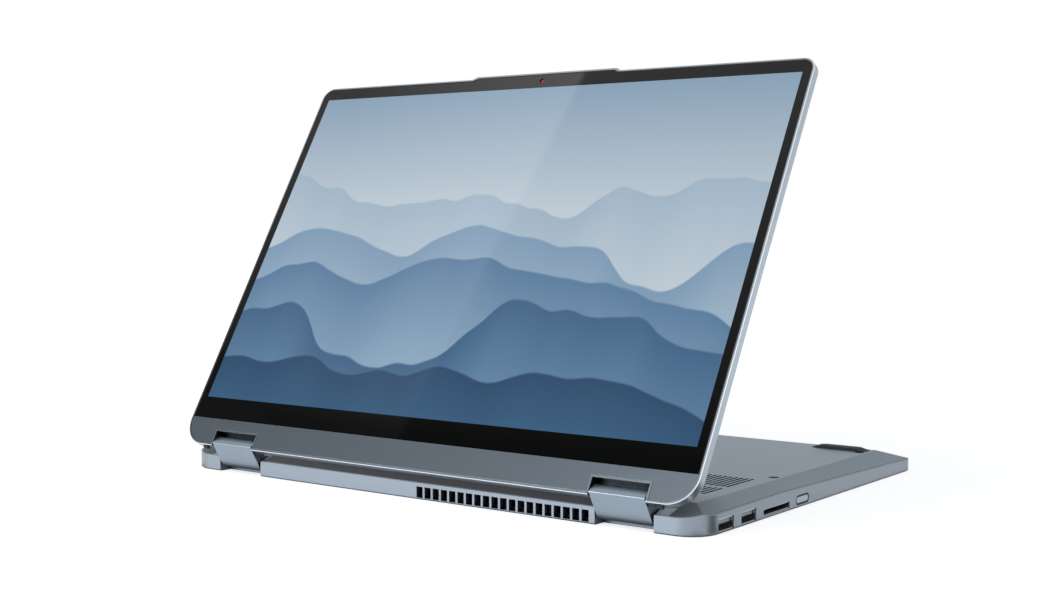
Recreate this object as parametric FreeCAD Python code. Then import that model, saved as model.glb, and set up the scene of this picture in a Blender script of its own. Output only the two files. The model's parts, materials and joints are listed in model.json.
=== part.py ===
import FreeCAD, Part
import math
import os

Vec = FreeCAD.Vector

# Driving sizes in millimetres. The computer stands on its keyboard deck, bottom cover up,
# with the lid turned back past flat so that the screen faces the viewer (towards -Y).
screen_width = 301.6
screen_height = 188.5
screen_side_border = 5.7
lid_side_step = 0.8
base_depth_margin = 33.5
base_thickness = 12.0
lid_thickness = 6.0
rear_corner_radius = 14.0
front_corner_radius = 8.0
rest_opening = 300.0
lid_width = screen_width + 2 * screen_side_border
base_width = lid_width + 2 * lid_side_step
base_depth = screen_height + base_depth_margin
half = base_width / 2

# Hinge placing: two parallel axes on one link, so each turns half of the opening.
closed_gap = 0.6
foot_height = 1.4
fold_clearance = 0.2
axis_spacing = (base_thickness + lid_thickness + closed_gap + foot_height + fold_clearance) / 2
base_axis_height = 0.517 * base_thickness
base_axis_inset = 2.6
lid_axis_depth = axis_spacing - closed_gap - base_axis_height
lid_edge_below_axis = 2.4
screen_bottom_rise = 24.35
screen_centre_rise = screen_bottom_rise + screen_height / 2
link_tilt = 180.0 - rest_opening / 2
lid_lean = 360.0 - rest_opening

# Named clearances.
seat_gap = 0.05
press_gap = 0.02
trim_gap = 0.1
part_gap = 0.25
key_gap = 0.45
running_gap = 0.06
sweep_gap = 0.35
base_notch_gap = 0.9
lid_notch_gap = 0.5

# Base walls and the sloping shape of the bottom cover.
deck_thickness = 1.6
deck_overlap = 0.2
wall_thickness = 2.4
rim_width = 1.0
cover_thickness = 1.3
deck_edge_chamfer = 0.7
rear_wall_height = 0.658 * base_thickness
front_wall_height = 0.45 * base_thickness
side_wall_rear = 0.708 * base_thickness
side_wall_peak = 0.7625 * base_thickness
side_wall_front = 0.483 * base_thickness
side_peak_at = 0.324 * base_depth
side_bevel = 11.5
overrun = 0.5
rear_bevel = 16.0
front_bevel = 22.0

# Hinge blocks.
hinge_width = 28.4
hinge_from_side = 38.4
hinge_centre = half - hinge_from_side
hinge_half_thickness = 2.9
hinge_overhang = 2.7
hinge_wall = 0.6
hinge_edge_radius = 0.6
shaft_radius = 1.1
plate_thickness = 1.2
gear_width = 4.0
gear_side_gap = 0.2
gear_teeth = 10
gear_pressure_angle = math.radians(25.0)
gear_backlash = 0.08
pin_radius = 0.55
notch_play = 1.6
notch_depth = base_axis_inset + hinge_half_thickness + notch_play
lid_notch_top = 5.8
lid_notch_lip = 1.6
notch_wall = 0.9
ear_width = 4.7
ear_depth = 9.0
flange_reach = 5.5
flange_thickness = 1.4
shaft_end = 0.3
shaft_tail = 2.0

# Keyboard and touchpad.
key_units = 15
keyboard_side = 20.0
keyboard_width = base_width - 2 * keyboard_side
key_pitch = keyboard_width / key_units
row_pitch = 0.081 * base_depth
function_row_pitch = 0.0565 * base_depth
keyboard_rear = 19.0
well_depth = 0.6
well_margin = 1.5
rail_reach = 3.0
rail_width = 1.6
key_top = 0.3
key_height = 2.3
key_travel = 1.3
key_corner = 1.6
key_draft = 0.45
key_web = 3.0
dome_room = 0.3
plate_level = key_top + key_height + key_travel + dome_room
plate_seat = 0.5
dome_hole = 4.0
sheet_thickness = 0.5
touchpad_width = 0.335 * base_width
touchpad_depth = 0.302 * base_depth
touchpad_front_margin = 14.0
touchpad_thickness = 1.25
touchpad_top = 0.2
touchpad_corner = 4.0
tray_border = 4.0
tray_front = 3.0
tray_thickness = 1.6
tray_roof = 0.6
tray_wall = 3.0
rows = (
    [1.0] * 15,
    [1.0] * 13 + [2.0],
    [1.5] + [1.0] * 12 + [1.5],
    [1.75] + [1.0] * 11 + [2.25],
    [2.25] + [1.0] * 10 + [2.75],
    [1.25, 1.0, 1.0, 1.0, 5.25, 1.25, 1.25, 1.0, 1.0, 1.0],
)
split_key = 8

# Openings in the side walls, measured from the hinge end of the base.
usb_a_at = (20.7, 40.8)
usb_a_hole = (13.4, 5.7)
usb_a_depth = 14.0
card_slot_at = 66.85
card_slot_hole = (24.9, 3.0)
card_slot_level = 3.0
card_depth = 15.5
button_at = 92.3
button_size = (13.4, 4.5)
button_level = 3.65
button_travel = 0.6
button_proud = 0.1
lug_thickness = 0.8
lug_reach = 1.0
lug_top = 5.4
switch_depth = 3.6
switch_half = 3.0
switch_tip = 0.8
led_at = 101.6
led_radius = 0.5
hdmi_at = 42.0
hdmi_hole = (15.4, 5.8)
usb_c_at = 22.0
usb_c_hole = (9.3, 3.6)
audio_at = 63.0
audio_bore_radius = 1.8
audio_barrel_radius = 2.8
audio_depth = 13.0
hdmi_depth = 12.0
hdmi_corner = 2.0
usb_c_depth = 9.0
tongue_block = 3.0
tongue_side = 1.1
tongue_setback = 1.2
contact_count = 4
port_level = 3.65
shell_wall = 0.35
shell_setback = 0.4

# Rear outlet and bottom inlet.
outlet_start = 1.9
outlet_count = 20
outlet_bar = 1.2
outlet_end_margin = 2.2
outlet_end = hinge_centre - hinge_width / 2 - base_notch_gap - notch_wall - outlet_end_margin
outlet_pitch = (outlet_end + outlet_bar - outlet_start) / outlet_count
outlet_slot = outlet_pitch - outlet_bar
outlet_low = 0.9
outlet_high = 6.2
inlet_from_side = 19.8
inlet_right = half - inlet_from_side
inlet_pitch = 2.8
inlet_slot = 1.4
inlet_count = 34
inlet_bands = ((36.0, 53.5), (57.0, 83.0))

# Cooling.
fan_x = 0.2225 * base_width
fan_y = 45.5
fan_radius = 24.0
fan_hub_radius = 11.0
fan_blades = 31
fan_blade_thickness = 0.8
fan_pin_radius = 1.0
fan_room = 2.0
fan_wall = 1.2
fan_skin = 0.6
fan_duct = 4.5
fan_corner = 13.0
blade_sweep = (1.6, 5.4)
fin_count = 32
fin_thickness = 0.4
fin_depth = 9.0
fin_margin = 1.0
fin_wall_gap = 0.4
pipe_width = 6.0
pipe_thickness = 1.2
spreader_size = (36.0, 26.0)
spreader_thickness = 0.9

# Battery and speakers.
cell_rear_gap = 3.0
cell_front_gap = 2.0
cell_top_gap = 0.4
cell_side_gap = 0.4
cell_width = 37.6
speaker_gap = 2.0
speaker_side = 6.0
speaker_at = (72.0, 44.0)
speaker_height = 5.9
speaker_bevel = (8.0, 2.2)

# Main board and what it carries. The two plug-in cards have the common sizes of such cards.
board_thickness = 1.0
board_margin = 1.0
board_fan_gap = 3.0
chip_size = (36.0, 22.0)
chip_thickness = 1.15
chip_from_fan = 82.0
chip_behind_fan = 7.5
memory_size = (11.0, 13.0)
memory_gap = 7.0
memory_pitch = (14.0, 18.0)
memory_thickness = 0.98
card_thickness = 0.8
card_lift = 0.85
card_packs = 1.2
ssd_size = (79.8, 21.8)
ssd_pack = (14.0, 16.0)
ssd_from_left = 20.3
ssd_from_front = 2.5
radio_size = (21.8, 28.8)
radio_can = (14.0, 15.0)
radio_from_left = 15.4
radio_from_rear = 2.0
holder_depth = 6.0
holder_height = 2.5
holder_side = 1.1
standoff_radius = 2.5

# Screws, feet and lid trim.
screw_head_radius = 2.2
screw_head_height = 0.6
screw_head_sink = 0.3
screw_land = 0.5
screw_radius = 1.0
screw_length = 4.0
drive_radius = 0.9
boss_radius = 2.6
screw_from_side = 15.3
screw_from_front = 7.0
screw_from_rear = 13.0
screw_row = 0.419 * base_depth
front_row = 34.0
bracket_head_radius = 1.7
bracket_head_height = 0.7
front_foot = (31.0, 10.0)
front_foot_from_side = 28.5
front_foot_from_front = 28.0
rear_foot = (0.68 * base_width, 7.0)
rear_foot_at = 24.0
lid_wall = 1.0
lid_back = 1.2
lid_back_radius = 2.0
lid_front_chamfer = 0.3
lid_top_border = 8.0
lid_top_radius = 7.0
glass_thickness = 1.0
glass_setback = 0.1
gasket_width = 0.5
chin_height = 12.4
bump_half = 47.8
bump_slant = 3.0
bump_rise = 1.5
bump_back = lid_back_radius - lid_thickness
panel_thickness = 2.45
panel_border = (1.8, 6.0, 2.0)
camera_rise = screen_centre_rise + screen_height / 2 + 4.4
camera_radius = 1.3
webcam_half = 38.0
antenna_from_bump = 14.2
antenna_start = bump_half + antenna_from_bump
antenna_length = 36.0
edge_pad_from_hinge = 6.6
edge_pad_half = (1.4, 1.1)
edge_pad_rise = 1.1
shutter_travel = 5.0
slider_plate = (4.0, 4.5)
slider_tab = 9.0
slider_level = (-1.9, -1.2)
slider_gap = 0.15
mark_radius = 1.15
mark_thickness = 0.08
lens_radius = 1.5
lens_height = 0.45
webcam_face = -2.4
bracket_arm = 42.0
bracket_thickness = 1.05
bracket_screw_radius = 0.8
bracket_screw_rise = 7.4
bracket_screw_steps = (8.0, 22.0, 36.0)
adhesive_strip = (2.0, 6.0, 10.0)
split_gap = 0.15

lid_top = screen_centre_rise + screen_height / 2 + lid_top_border
keyboard_depth = function_row_pitch + 5 * row_pitch
keyboard_front = keyboard_rear + keyboard_depth
touchpad_front = base_depth - touchpad_front_margin
touchpad_rear = touchpad_front - touchpad_depth
board_level = plate_level + sheet_thickness + seat_gap
tall = 5 * base_thickness


def box(x0, x1, y0, y1, z0, z1):
    """A block between two corners."""
    return Part.makeBox(x1 - x0, y1 - y0, z1 - z0, Vec(x0, y0, z0))


def prism(points, height, axis="z"):
    """A straight extrusion of a closed outline given as points."""
    loop = Part.makePolygon([Vec(*p) for p in points] + [Vec(*points[0])])
    ways = {"x": Vec(height, 0, 0), "y": Vec(0, height, 0), "z": Vec(0, 0, height)}
    return Part.Face(loop).extrude(ways[axis])


def rod(radius, start, length, axis="x"):
    """A cylinder from its start point along an axis."""
    ways = {"x": Vec(1, 0, 0), "y": Vec(0, 1, 0), "z": Vec(0, 0, 1)}
    return Part.makeCylinder(radius, length, Vec(*start), ways[axis])


def rounded_slab(half_width, y0, y1, r0, r1, z0, z1):
    """A plate with one corner radius at its y0 end and another at its y1 end."""
    w = half_width
    k = math.sqrt(0.5)
    corners = (
        ((w, y0 + r0), (w - r0 + r0 * k, y0 + r0 - r0 * k), (w - r0, y0)),
        ((-w + r0, y0), (-w + r0 - r0 * k, y0 + r0 - r0 * k), (-w, y0 + r0)),
        ((-w, y1 - r1), (-w + r1 - r1 * k, y1 - r1 + r1 * k), (-w + r1, y1)),
        ((w - r1, y1), (w - r1 + r1 * k, y1 - r1 + r1 * k), (w, y1 - r1)),
    )
    edges = []
    for number, (start, middle, end) in enumerate(corners):
        arc = Part.Arc(Vec(*start, z0), Vec(*middle, z0), Vec(*end, z0))
        edges.append(arc.toShape())
        following = corners[(number + 1) % 4][0]
        edges.append(Part.makeLine(Vec(*end, z0), Vec(*following, z0)))
    return Part.Face(Part.Wire(edges)).extrude(Vec(0, 0, z1 - z0))


def pill(x0, x1, y, z, width, height):
    """A bar along X with a section of straight sides and round ends in Y."""
    radius = height / 2
    reach = width / 2 - radius
    middle = box(x0, x1, y - reach, y + reach, z - radius, z + radius)
    ends = [rod(radius, (x0, y + side * reach, z), x1 - x0) for side in (-1, 1)]
    return middle.fuse(ends).removeSplitter()


def mirrored(shape):
    """The same piece on the other side of the middle plane."""
    return shape.mirror(Vec(0, 0, 0), Vec(1, 0, 0))


def both(shape):
    """A piece and its mirror image."""
    return [shape, mirrored(shape)]


def below_plane(point, normal):
    """The space under a sloping plane."""
    size = 4 * max(base_width, base_depth)
    block = Part.makeBox(size, size, size, Vec(-size / 2, -size / 2, -size))
    turn = FreeCAD.Rotation(Vec(0, 0, 1), Vec(*normal))
    block.Placement = FreeCAD.Placement(Vec(*point), turn)
    return block


def side_wall(y):
    """Height of the side walls, which rise to a peak and then fall towards the front."""
    if y < side_peak_at:
        return side_wall_peak + (y - side_peak_at) * (side_wall_peak - side_wall_rear) / side_peak_at
    run = base_depth - side_peak_at
    return side_wall_peak - (y - side_peak_at) * (side_wall_peak - side_wall_front) / run


def crown(drop):
    """The space under the bevelled bottom of the base, lowered by a drop."""
    rear_slope = (base_thickness - rear_wall_height) / rear_bevel
    front_slope = (base_thickness - front_wall_height) / front_bevel
    top = base_thickness - drop

    def section(y):
        fall = base_thickness - side_wall(y)
        edge = top - fall * (side_bevel + overrun) / side_bevel
        x, inner = half + overrun, half - side_bevel
        profile = [(-x, -tall), (x, -tall), (x, edge), (inner, top), (-inner, top), (-x, edge)]
        return Part.makePolygon([Vec(px, y, pz) for px, pz in profile + profile[:1]])

    stations = (-overrun, side_peak_at, base_depth + overrun)
    halves = [
        Part.makeLoft([section(y0), section(y1)], True, True)
        for y0, y1 in zip(stations, stations[1:])
    ]
    space = halves[0].fuse(halves[1])
    space = space.common(below_plane((0, 0, rear_wall_height - drop), (0, -rear_slope, 1)))
    end = (0, base_depth, front_wall_height - drop)
    return space.common(below_plane(end, (0, front_slope, 1)))


def base_slab(inset, z0, z1):
    """The plan outline of the base, drawn in by an inset."""
    return rounded_slab(
        half - inset,
        inset,
        base_depth - inset,
        rear_corner_radius - inset,
        front_corner_radius - inset,
        z0,
        z1,
    )


def in_link(shape):
    """From the hinge link's own frame (base axis at the origin, link along Z) to its place at rest."""
    turned = shape.copy()
    turned.rotate(Vec(0, 0, 0), Vec(1, 0, 0), link_tilt)
    turned.translate(Vec(0, base_axis_inset, base_axis_height))
    return turned


def in_lid(shape):
    """From the lid's own frame (hinge axis at y 0, screen face at z 0) to its place at rest."""
    turned = shape.copy()
    turned.translate(Vec(0, 0, lid_axis_depth))
    turned.rotate(Vec(0, 0, 0), Vec(1, 0, 0), lid_lean)
    tilt = math.radians(link_tilt)
    axis_y = base_axis_inset - axis_spacing * math.sin(tilt)
    axis_z = base_axis_height + axis_spacing * math.cos(tilt)
    turned.translate(Vec(0, axis_y, axis_z))
    return turned


def key_shapes():
    """Every key as (row, x0, x1, y0, y1), the outline of its own cell."""
    cells = []
    y = keyboard_rear
    for number, widths in enumerate(rows):
        depth = function_row_pitch if number == 0 else row_pitch
        x = -keyboard_width / 2
        for place, units in enumerate(widths):
            end = x + units * key_pitch
            if number == len(rows) - 1 and place == split_key:
                cells.append((number, x, end, y, y + depth / 2 + key_web / 4))
                cells.append((number, x, end, y + depth / 2 - key_web / 4, y + depth))
            else:
                cells.append((number, x, end, y, y + depth))
            x = end
        y += depth
    return cells


def cut_corners(x0, x1, y0, y1, z, corner):
    """A closed rectangle with its corners cut off."""
    points = [
        (x0 + corner, y0), (x1 - corner, y0), (x1, y0 + corner), (x1, y1 - corner),
        (x1 - corner, y1), (x0 + corner, y1), (x0, y1 - corner), (x0, y0 + corner),
    ]
    return Part.makePolygon([Vec(px, py, z) for px, py in points + points[:1]])


def keycap(x0, x1, y0, y1):
    """One key with sloping sides and a slightly smaller touch face."""
    w = key_web / 2
    skirt = cut_corners(x0 + w, x1 - w, y0 + w, y1 - w, key_top + key_height, key_corner)
    w += key_draft
    face = cut_corners(x0 + w, x1 - w, y0 + w, y1 - w, key_top, key_corner)
    return Part.makeLoft([skirt, face], True, True)


def screw_places():
    """Where the bottom cover is screwed down."""
    side = half - screw_from_side
    front = base_depth - screw_from_front
    rear = screw_from_rear
    spots = [(0.0, front), (-0.1 * base_width, rear)]
    pairs = ((side, screw_row), (side, base_depth - front_row), (0.24 * base_width, front))
    for x, y in pairs + ((hinge_centre - hinge_width / 2, rear),):
        spots += [(x, y), (-x, y)]
    return spots


def crown_height(x, y):
    """Height of the bevelled bottom above the deck at one point."""
    edge = side_wall(y)
    return min(
        base_thickness,
        rear_wall_height + y * (base_thickness - rear_wall_height) / rear_bevel,
        front_wall_height + (base_depth - y) * (base_thickness - front_wall_height) / front_bevel,
        edge + (half - abs(x)) * (base_thickness - edge) / side_bevel,
    )


def lowest_crown(x, y, reach):
    """The lowest height of the bevelled bottom within a reach of one point."""
    return min(crown_height(x + a * reach, y + b * reach) for a in (-1, 1) for b in (-1, 1))


def screw_seat(x, y):
    """Height of the face that one cover screw's head rests on."""
    return lowest_crown(x, y, screw_head_radius) - screw_head_height - screw_head_sink


def boss_top(x, y):
    """Height of the case's boss under one cover screw."""
    under = lowest_crown(x, y, boss_radius) - cover_thickness
    return min(under, screw_seat(x, y) - screw_land) - seat_gap


def hinge_zone(extra):
    """The solid corner of the base around one hinge notch and its bracket ear."""
    inner = hinge_centre - hinge_width / 2 - base_notch_gap
    outer = hinge_centre + hinge_width / 2 + base_notch_gap
    x0 = inner - notch_wall - extra
    x1 = outer + notch_wall + ear_width + 2 * trim_gap + notch_wall + extra
    frame = box(x0, outer + notch_wall, -1, notch_depth + notch_wall + extra, -1, tall)
    ear = box(outer + notch_wall - extra, x1, -1, ear_depth + extra, -1, tall)
    return frame.fuse(ear)


def hinge_notch():
    """The opening one hinge block swings in."""
    reach = hinge_width / 2 + base_notch_gap
    return box(hinge_centre - reach, hinge_centre + reach, -1, notch_depth, -1, tall)


def ear_span():
    """X range of the bracket ear beside one notch."""
    start = hinge_centre + hinge_width / 2 + base_notch_gap + notch_wall + trim_gap
    return start, start + ear_width


def ear_pocket():
    """The room for one bracket ear, open upwards and towards the keyboard."""
    x0, x1 = ear_span()
    return box(x0 - trim_gap, x1 + trim_gap, rim_width, ear_depth + 1, deck_thickness, tall)


def flange_span():
    """X and Y range of the bracket's flange in front of the notch."""
    x0, x1 = ear_span()
    y0 = notch_depth + notch_wall + trim_gap
    return hinge_centre - flange_reach, x1, y0, keyboard_rear - rail_reach - trim_gap


def flange_screws():
    """Two screw places on one base bracket."""
    x0, x1, y0, y1 = flange_span()
    middle = (y0 + y1) / 2
    edge = 2 * bracket_head_radius - bracket_head_height / 2
    return [(x0 + edge, middle), (x1 - edge, middle)]


def side_cut(side, y, z, size, depth):
    """A rectangular opening in a side wall reaching inwards."""
    wide, high = size
    start = half - depth
    hole = box(start, half + 2, y - wide / 2, y + wide / 2, z - high / 2, z + high / 2)
    return hole if side > 0 else mirrored(hole)


def make_top_case():
    """Keyboard deck and walls, the frame that carries everything in the base."""
    zones = both(hinge_zone(0))
    blank = base_slab(0, 0, tall)
    deck_rim = [e for e in blank.Edges if max(v.Z for v in e.Vertexes) < 0.001]
    body = blank.makeChamfer(deck_edge_chamfer, deck_rim).common(crown(0))
    room = base_slab(wall_thickness, deck_thickness, tall)
    pocket = base_slab(rim_width, 0.1, tall).cut(crown(cover_thickness))
    body = body.cut([room.cut(zones), pocket.cut(zones)])
    bosses = []
    level = deck_thickness - deck_overlap
    for x, y in screw_places():
        bosses.append(rod(boss_radius, (x, y, level), boss_top(x, y) - level, "z"))
    w = keyboard_width / 2 + well_margin
    y0, y1 = keyboard_rear - rail_reach, keyboard_front + rail_reach
    rail = box(-w - rail_width, w + rail_width, y0, y1, level, plate_level)
    rail = rail.cut(box(-w, w, y0 + rail_width, y1 - rail_width, 0, tall))
    body = body.fuse(bosses + [rail]).removeSplitter()
    cuts = both(hinge_notch()) + both(ear_pocket())
    for x, y in screw_places():
        cuts.append(rod(screw_radius + press_gap, (x, y, deck_thickness), tall, "z"))
    for x, y in flange_screws():
        hole = rod(bracket_screw_radius + press_gap, (x, y, deck_thickness / 2), deck_thickness, "z")
        cuts += both(hole)
    axis = (hinge_centre, base_axis_inset, base_axis_height)
    cuts += both(rod(shaft_radius + sweep_gap, axis, hinge_width / 2 + base_notch_gap + 2))
    for place in range(outlet_count):
        x = outlet_start + place * outlet_pitch
        cuts.append(box(x, x + outlet_slot, -1, wall_thickness + 1, outlet_low, outlet_high))
    for y in usb_a_at:
        cuts.append(side_cut(1, y, port_level, usb_a_hole, usb_a_depth + 1.6))
    cuts.append(side_cut(1, card_slot_at, card_slot_level, card_slot_hole, card_depth + 1))
    cuts.append(side_cut(-1, hdmi_at, port_level, hdmi_hole, usb_a_depth))
    wide, high = usb_c_hole
    cuts.append(pill(-half - 2, -half + usb_c_depth + 1, usb_c_at, port_level, wide, high))
    hole = (-half - 2, audio_at, port_level)
    cuts.append(rod(audio_barrel_radius + trim_gap, hole, audio_depth + 3))
    wide, high = button_size
    cuts.append(pill(half - 3, half + 2, button_at, button_level, wide, high))
    cuts.append(rod(led_radius, (half - wall_thickness - 2, led_at, button_level), wall_thickness + 4))
    cuts.append(box(-w, w, keyboard_rear - well_margin, keyboard_front + well_margin, -1, well_depth))
    grow = key_web / 2 - key_gap
    for row, x0, x1, y0, y1 in key_shapes():
        cuts.append(box(x0 + grow, x1 - grow, y0 + grow, y1 - grow, 0, deck_thickness + 1))
    cuts.append(pad_slab(sweep_gap, -1, deck_thickness + 1))
    return body.cut(cuts)


def foot_bar(x, y, size, level):
    """A rubber bar with sloping ends and sides."""
    long, wide = size
    shapes = []
    for inset, z in ((0.0, level), (0.25 * wide, level + foot_height)):
        a = long / 2 - 1.6 * inset
        b = wide / 2 - 0.6 * inset
        shapes.append(cut_corners(x - a, x + a, y - b, y + b, z, 0.22 * wide))
    return Part.makeLoft(shapes, True, True)


def make_bottom_cover():
    """Bevelled cover with the air inlet, screw seats and openings round the hinges."""
    inset = rim_width + part_gap
    outside = crown(0)
    body = base_slab(inset, deck_overlap, tall).common(outside).cut(crown(cover_thickness))
    pads = []
    cuts = both(hinge_zone(part_gap))
    for x, y in screw_places():
        seat = screw_seat(x, y)
        pads.append(rod(boss_radius, (x, y, seat - screw_land), tall, "z").common(outside))
        cuts.append(rod(screw_head_radius + part_gap, (x, y, seat), tall, "z"))
        cuts.append(rod(screw_radius + trim_gap, (x, y, 0), tall, "z"))
    for column in range(inlet_count):
        x = inlet_right - column * inlet_pitch
        for y0, y1 in inlet_bands:
            cuts.append(box(x - inlet_slot, x, y0, y1, 0, tall))
    return body.fuse(pads).removeSplitter().cut(cuts)


def make_screws():
    """Identical cover screws, head down in its seat."""
    screws = []
    for x, y in screw_places():
        seat = screw_seat(x, y) + press_gap
        head = rod(screw_head_radius, (x, y, seat), screw_head_height, "z")
        drive = rod(drive_radius, (x, y, seat + screw_head_height / 2), screw_head_height, "z")
        stem_length = min(screw_length, seat - deck_thickness - part_gap)
        stem = rod(screw_radius, (x, y, seat - stem_length), stem_length + press_gap, "z")
        screws.append(head.fuse(stem).cut(drive))
    return screws


def gear(x0, x1, phase, bore):
    """A spur gear about X with involute teeth; phase turns its first tooth from +Z."""
    pitch_radius = axis_spacing / 6
    size = 2 * pitch_radius / gear_teeth
    tip = pitch_radius + 0.8 * size
    root = pitch_radius - 1.05 * size
    base_circle = pitch_radius * math.cos(gear_pressure_angle)
    start = math.tan(gear_pressure_angle) - gear_pressure_angle
    start += math.pi / (2 * gear_teeth) - gear_backlash / (2 * pitch_radius)

    def flank(radius):
        angle = math.acos(min(1.0, base_circle / radius))
        return start - math.tan(angle) + angle

    points = []
    for tooth in range(gear_teeth):
        middle = phase + tooth * 2 * math.pi / gear_teeth
        rise = [(root, flank(base_circle)), (pitch_radius, flank(pitch_radius)), (tip, flank(tip))]
        for radius, turn in [(r, -t) for r, t in rise] + rise[::-1]:
            a = middle + turn
            points.append((x0, radius * math.sin(a), radius * math.cos(a)))
    body = prism(points, x1 - x0, "x")
    return body.cut(rod(bore, (x0 - 1, 0, 0), x1 - x0 + 2)) if bore else body


def gear_span():
    """X range of the gear train in the right hinge."""
    return hinge_centre - gear_width / 2, hinge_centre + gear_width / 2


def raised(shape, step):
    """Moves a piece along the link by thirds of the axis spacing."""
    moved = shape.copy()
    moved.translate(Vec(0, 0, step * axis_spacing / 3))
    return moved


def make_hinge():
    """The swinging link: two cover shells, bearing plates, idler pins and the idler gears."""
    h = hinge_half_thickness
    x0 = hinge_centre - hinge_width / 2
    x1 = hinge_centre + hinge_width / 2
    z0 = -hinge_overhang
    z1 = axis_spacing + hinge_overhang
    block = box(x0, x1, -h, h, z0, z1)
    along = [e for e in block.Edges if abs(e.Vertexes[0].X - e.Vertexes[1].X) > 1]
    block = block.makeFillet(hinge_edge_radius, along)
    w = hinge_wall
    block = block.cut(box(x0 + w, x1 - w, -h + w, h - w, z0 + w, z1 - w))
    opening = shaft_radius + sweep_gap
    block = block.cut([
        rod(opening, (x1 - 2, 0, 0), 4),
        rod(opening, (x0 - 2, 0, axis_spacing), 4),
    ])
    front = block.common(box(x0 - 1, x1 + 1, -h - 1, 0, z0 - 1, z1 + 1))
    rear = block.common(box(x0 - 1, x1 + 1, seat_gap, h + 1, z0 - 1, z1 + 1))
    g0, g1 = gear_span()
    r = h - w - trim_gap
    lift = axis_spacing / 3
    plates = []
    for start in (g0 - gear_side_gap - plate_thickness, g1 + gear_side_gap):
        bar = box(start, start + plate_thickness, -r, r, 0, axis_spacing)
        ends = [rod(r, (start, 0, z), plate_thickness) for z in (0, axis_spacing)]
        bar = bar.fuse(ends).removeSplitter()
        bar = bar.common(box(start, start + plate_thickness, -r, r, z0 + w + trim_gap, z1 - w - trim_gap))
        holes = [rod(shaft_radius + running_gap, (start - 1, 0, z), 4) for z in (0, axis_spacing)]
        holes += [rod(pin_radius, (start - 1, 0, k * lift), 4) for k in (1, 2)]
        plates.append(bar.cut(holes))
    reach = gear_width + 2 * (gear_side_gap + plate_thickness)
    pin = rod(pin_radius, (g0 - gear_side_gap - plate_thickness, 0, 0), reach)
    half_tooth = math.pi / gear_teeth
    bore = pin_radius + running_gap
    tail = g0 - shaft_tail
    base_shaft = rod(shaft_radius, (tail, 0, 0), ear_span()[1] - shaft_end - tail)
    base_shaft = base_shaft.fuse(gear(g0, g1, 0, 0))
    lid_end = lid_ear_span()[0] + shaft_end
    lid_shaft = rod(shaft_radius, (lid_end, 0, axis_spacing), g1 + shaft_tail - lid_end)
    lid_shaft = lid_shaft.fuse(raised(gear(g0, g1, half_tooth, 0), 3))
    pieces = {
        "hinge_front_covers": [front],
        "hinge_rear_covers": [rear],
        "hinge_plates": plates,
        "idler_pins": [raised(pin, 1), raised(pin, 2)],
        "idler_gears_low": [raised(gear(g0, g1, half_tooth, bore), 1)],
        "idler_gears_high": [raised(gear(g0, g1, 0, bore), 2)],
        "base_hinge_shafts": [base_shaft],
        "lid_hinge_shafts": [lid_shaft],
    }
    return {
        name: [part for shape in shapes for part in both(in_link(shape))]
        for name, shapes in pieces.items()
    }


def make_base_brackets():
    """Steel brackets: an ear that grips the shaft and a flange screwed to the deck."""
    x0, x1 = ear_span()
    low = deck_thickness + seat_gap
    ear = box(x0, x1, rim_width + trim_gap, ear_depth, low, tall).common(crown(0))
    f0, f1, y0, y1 = flange_span()
    top = low + flange_thickness
    flange = box(f0, f1, y0, y1, low, top)
    tie = box(x0, x1, ear_depth - 1, y1, low, top)
    body = ear.fuse([flange, tie]).removeSplitter()
    axis = (x0 - 1, base_axis_inset, base_axis_height)
    cuts = [rod(shaft_radius + press_gap, axis, ear_width + 2)]
    screws = []
    for x, y in flange_screws():
        cuts.append(rod(bracket_screw_radius + trim_gap, (x, y, 0), tall, "z"))
        head = rod(bracket_head_radius, (x, y, top + press_gap), bracket_head_height, "z")
        start = deck_thickness / 2 + trim_gap
        stem = rod(bracket_screw_radius, (x, y, start), top + trim_gap - start, "z")
        screws += both(head.fuse(stem))
    return both(body.cut(cuts)), screws


def socket_shell(side, y, z, wide, high, depth, wall):
    """A drawn metal socket shell, open to the outside."""
    x1 = half - shell_setback
    x0 = x1 - depth
    outer = box(x0, x1, y - wide / 2, y + wide / 2, z - high / 2, z + high / 2)
    a, b = wide / 2 - wall, high / 2 - wall
    shell = outer.cut(box(x0 + wall, x1 + 1, y - a, y + a, z - b, z + b))
    return shell if side > 0 else mirrored(shell)


def make_usb_a():
    """Two identical large sockets and their contact tongues."""
    wide = usb_a_hole[0] - 2 * trim_gap
    high = usb_a_hole[1] - 2 * trim_gap
    shells = []
    tongues = []
    x0 = half - shell_setback - usb_a_depth + shell_wall
    x1 = half - shell_setback - tongue_setback
    a = usb_a_hole[0] / 2 - tongue_side
    b = high / 2 - shell_wall - trim_gap
    face = port_level + 0.1 * b
    for y in usb_a_at:
        shells.append(socket_shell(1, y, port_level, wide, high, usb_a_depth, shell_wall))
        block = box(x0, x0 + tongue_block, y - a, y + a, port_level - b, port_level + b)
        blade = box(x0, x1, y - a, y + a, face, port_level + 0.9 * b)
        ribs = []
        for number in range(contact_count):
            x = x0 + tongue_block + seat_gap
            middle = y + a * (2 * number + 1 - contact_count) / contact_count
            strip = 0.1 * a
            ribs.append(box(x, x1 - strip, middle - strip, middle + strip, face - trim_gap, face + trim_gap))
        tongues.append(block.fuse([blade] + ribs).removeSplitter())
    return shells, tongues


def make_card_reader():
    """Flat card slot housing, open to the outside."""
    wide = card_slot_hole[0] - 2 * trim_gap
    high = card_slot_hole[1] - 2 * trim_gap
    return socket_shell(1, card_slot_at, card_slot_level, wide, high, card_depth, 0.7 * shell_wall)


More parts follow.
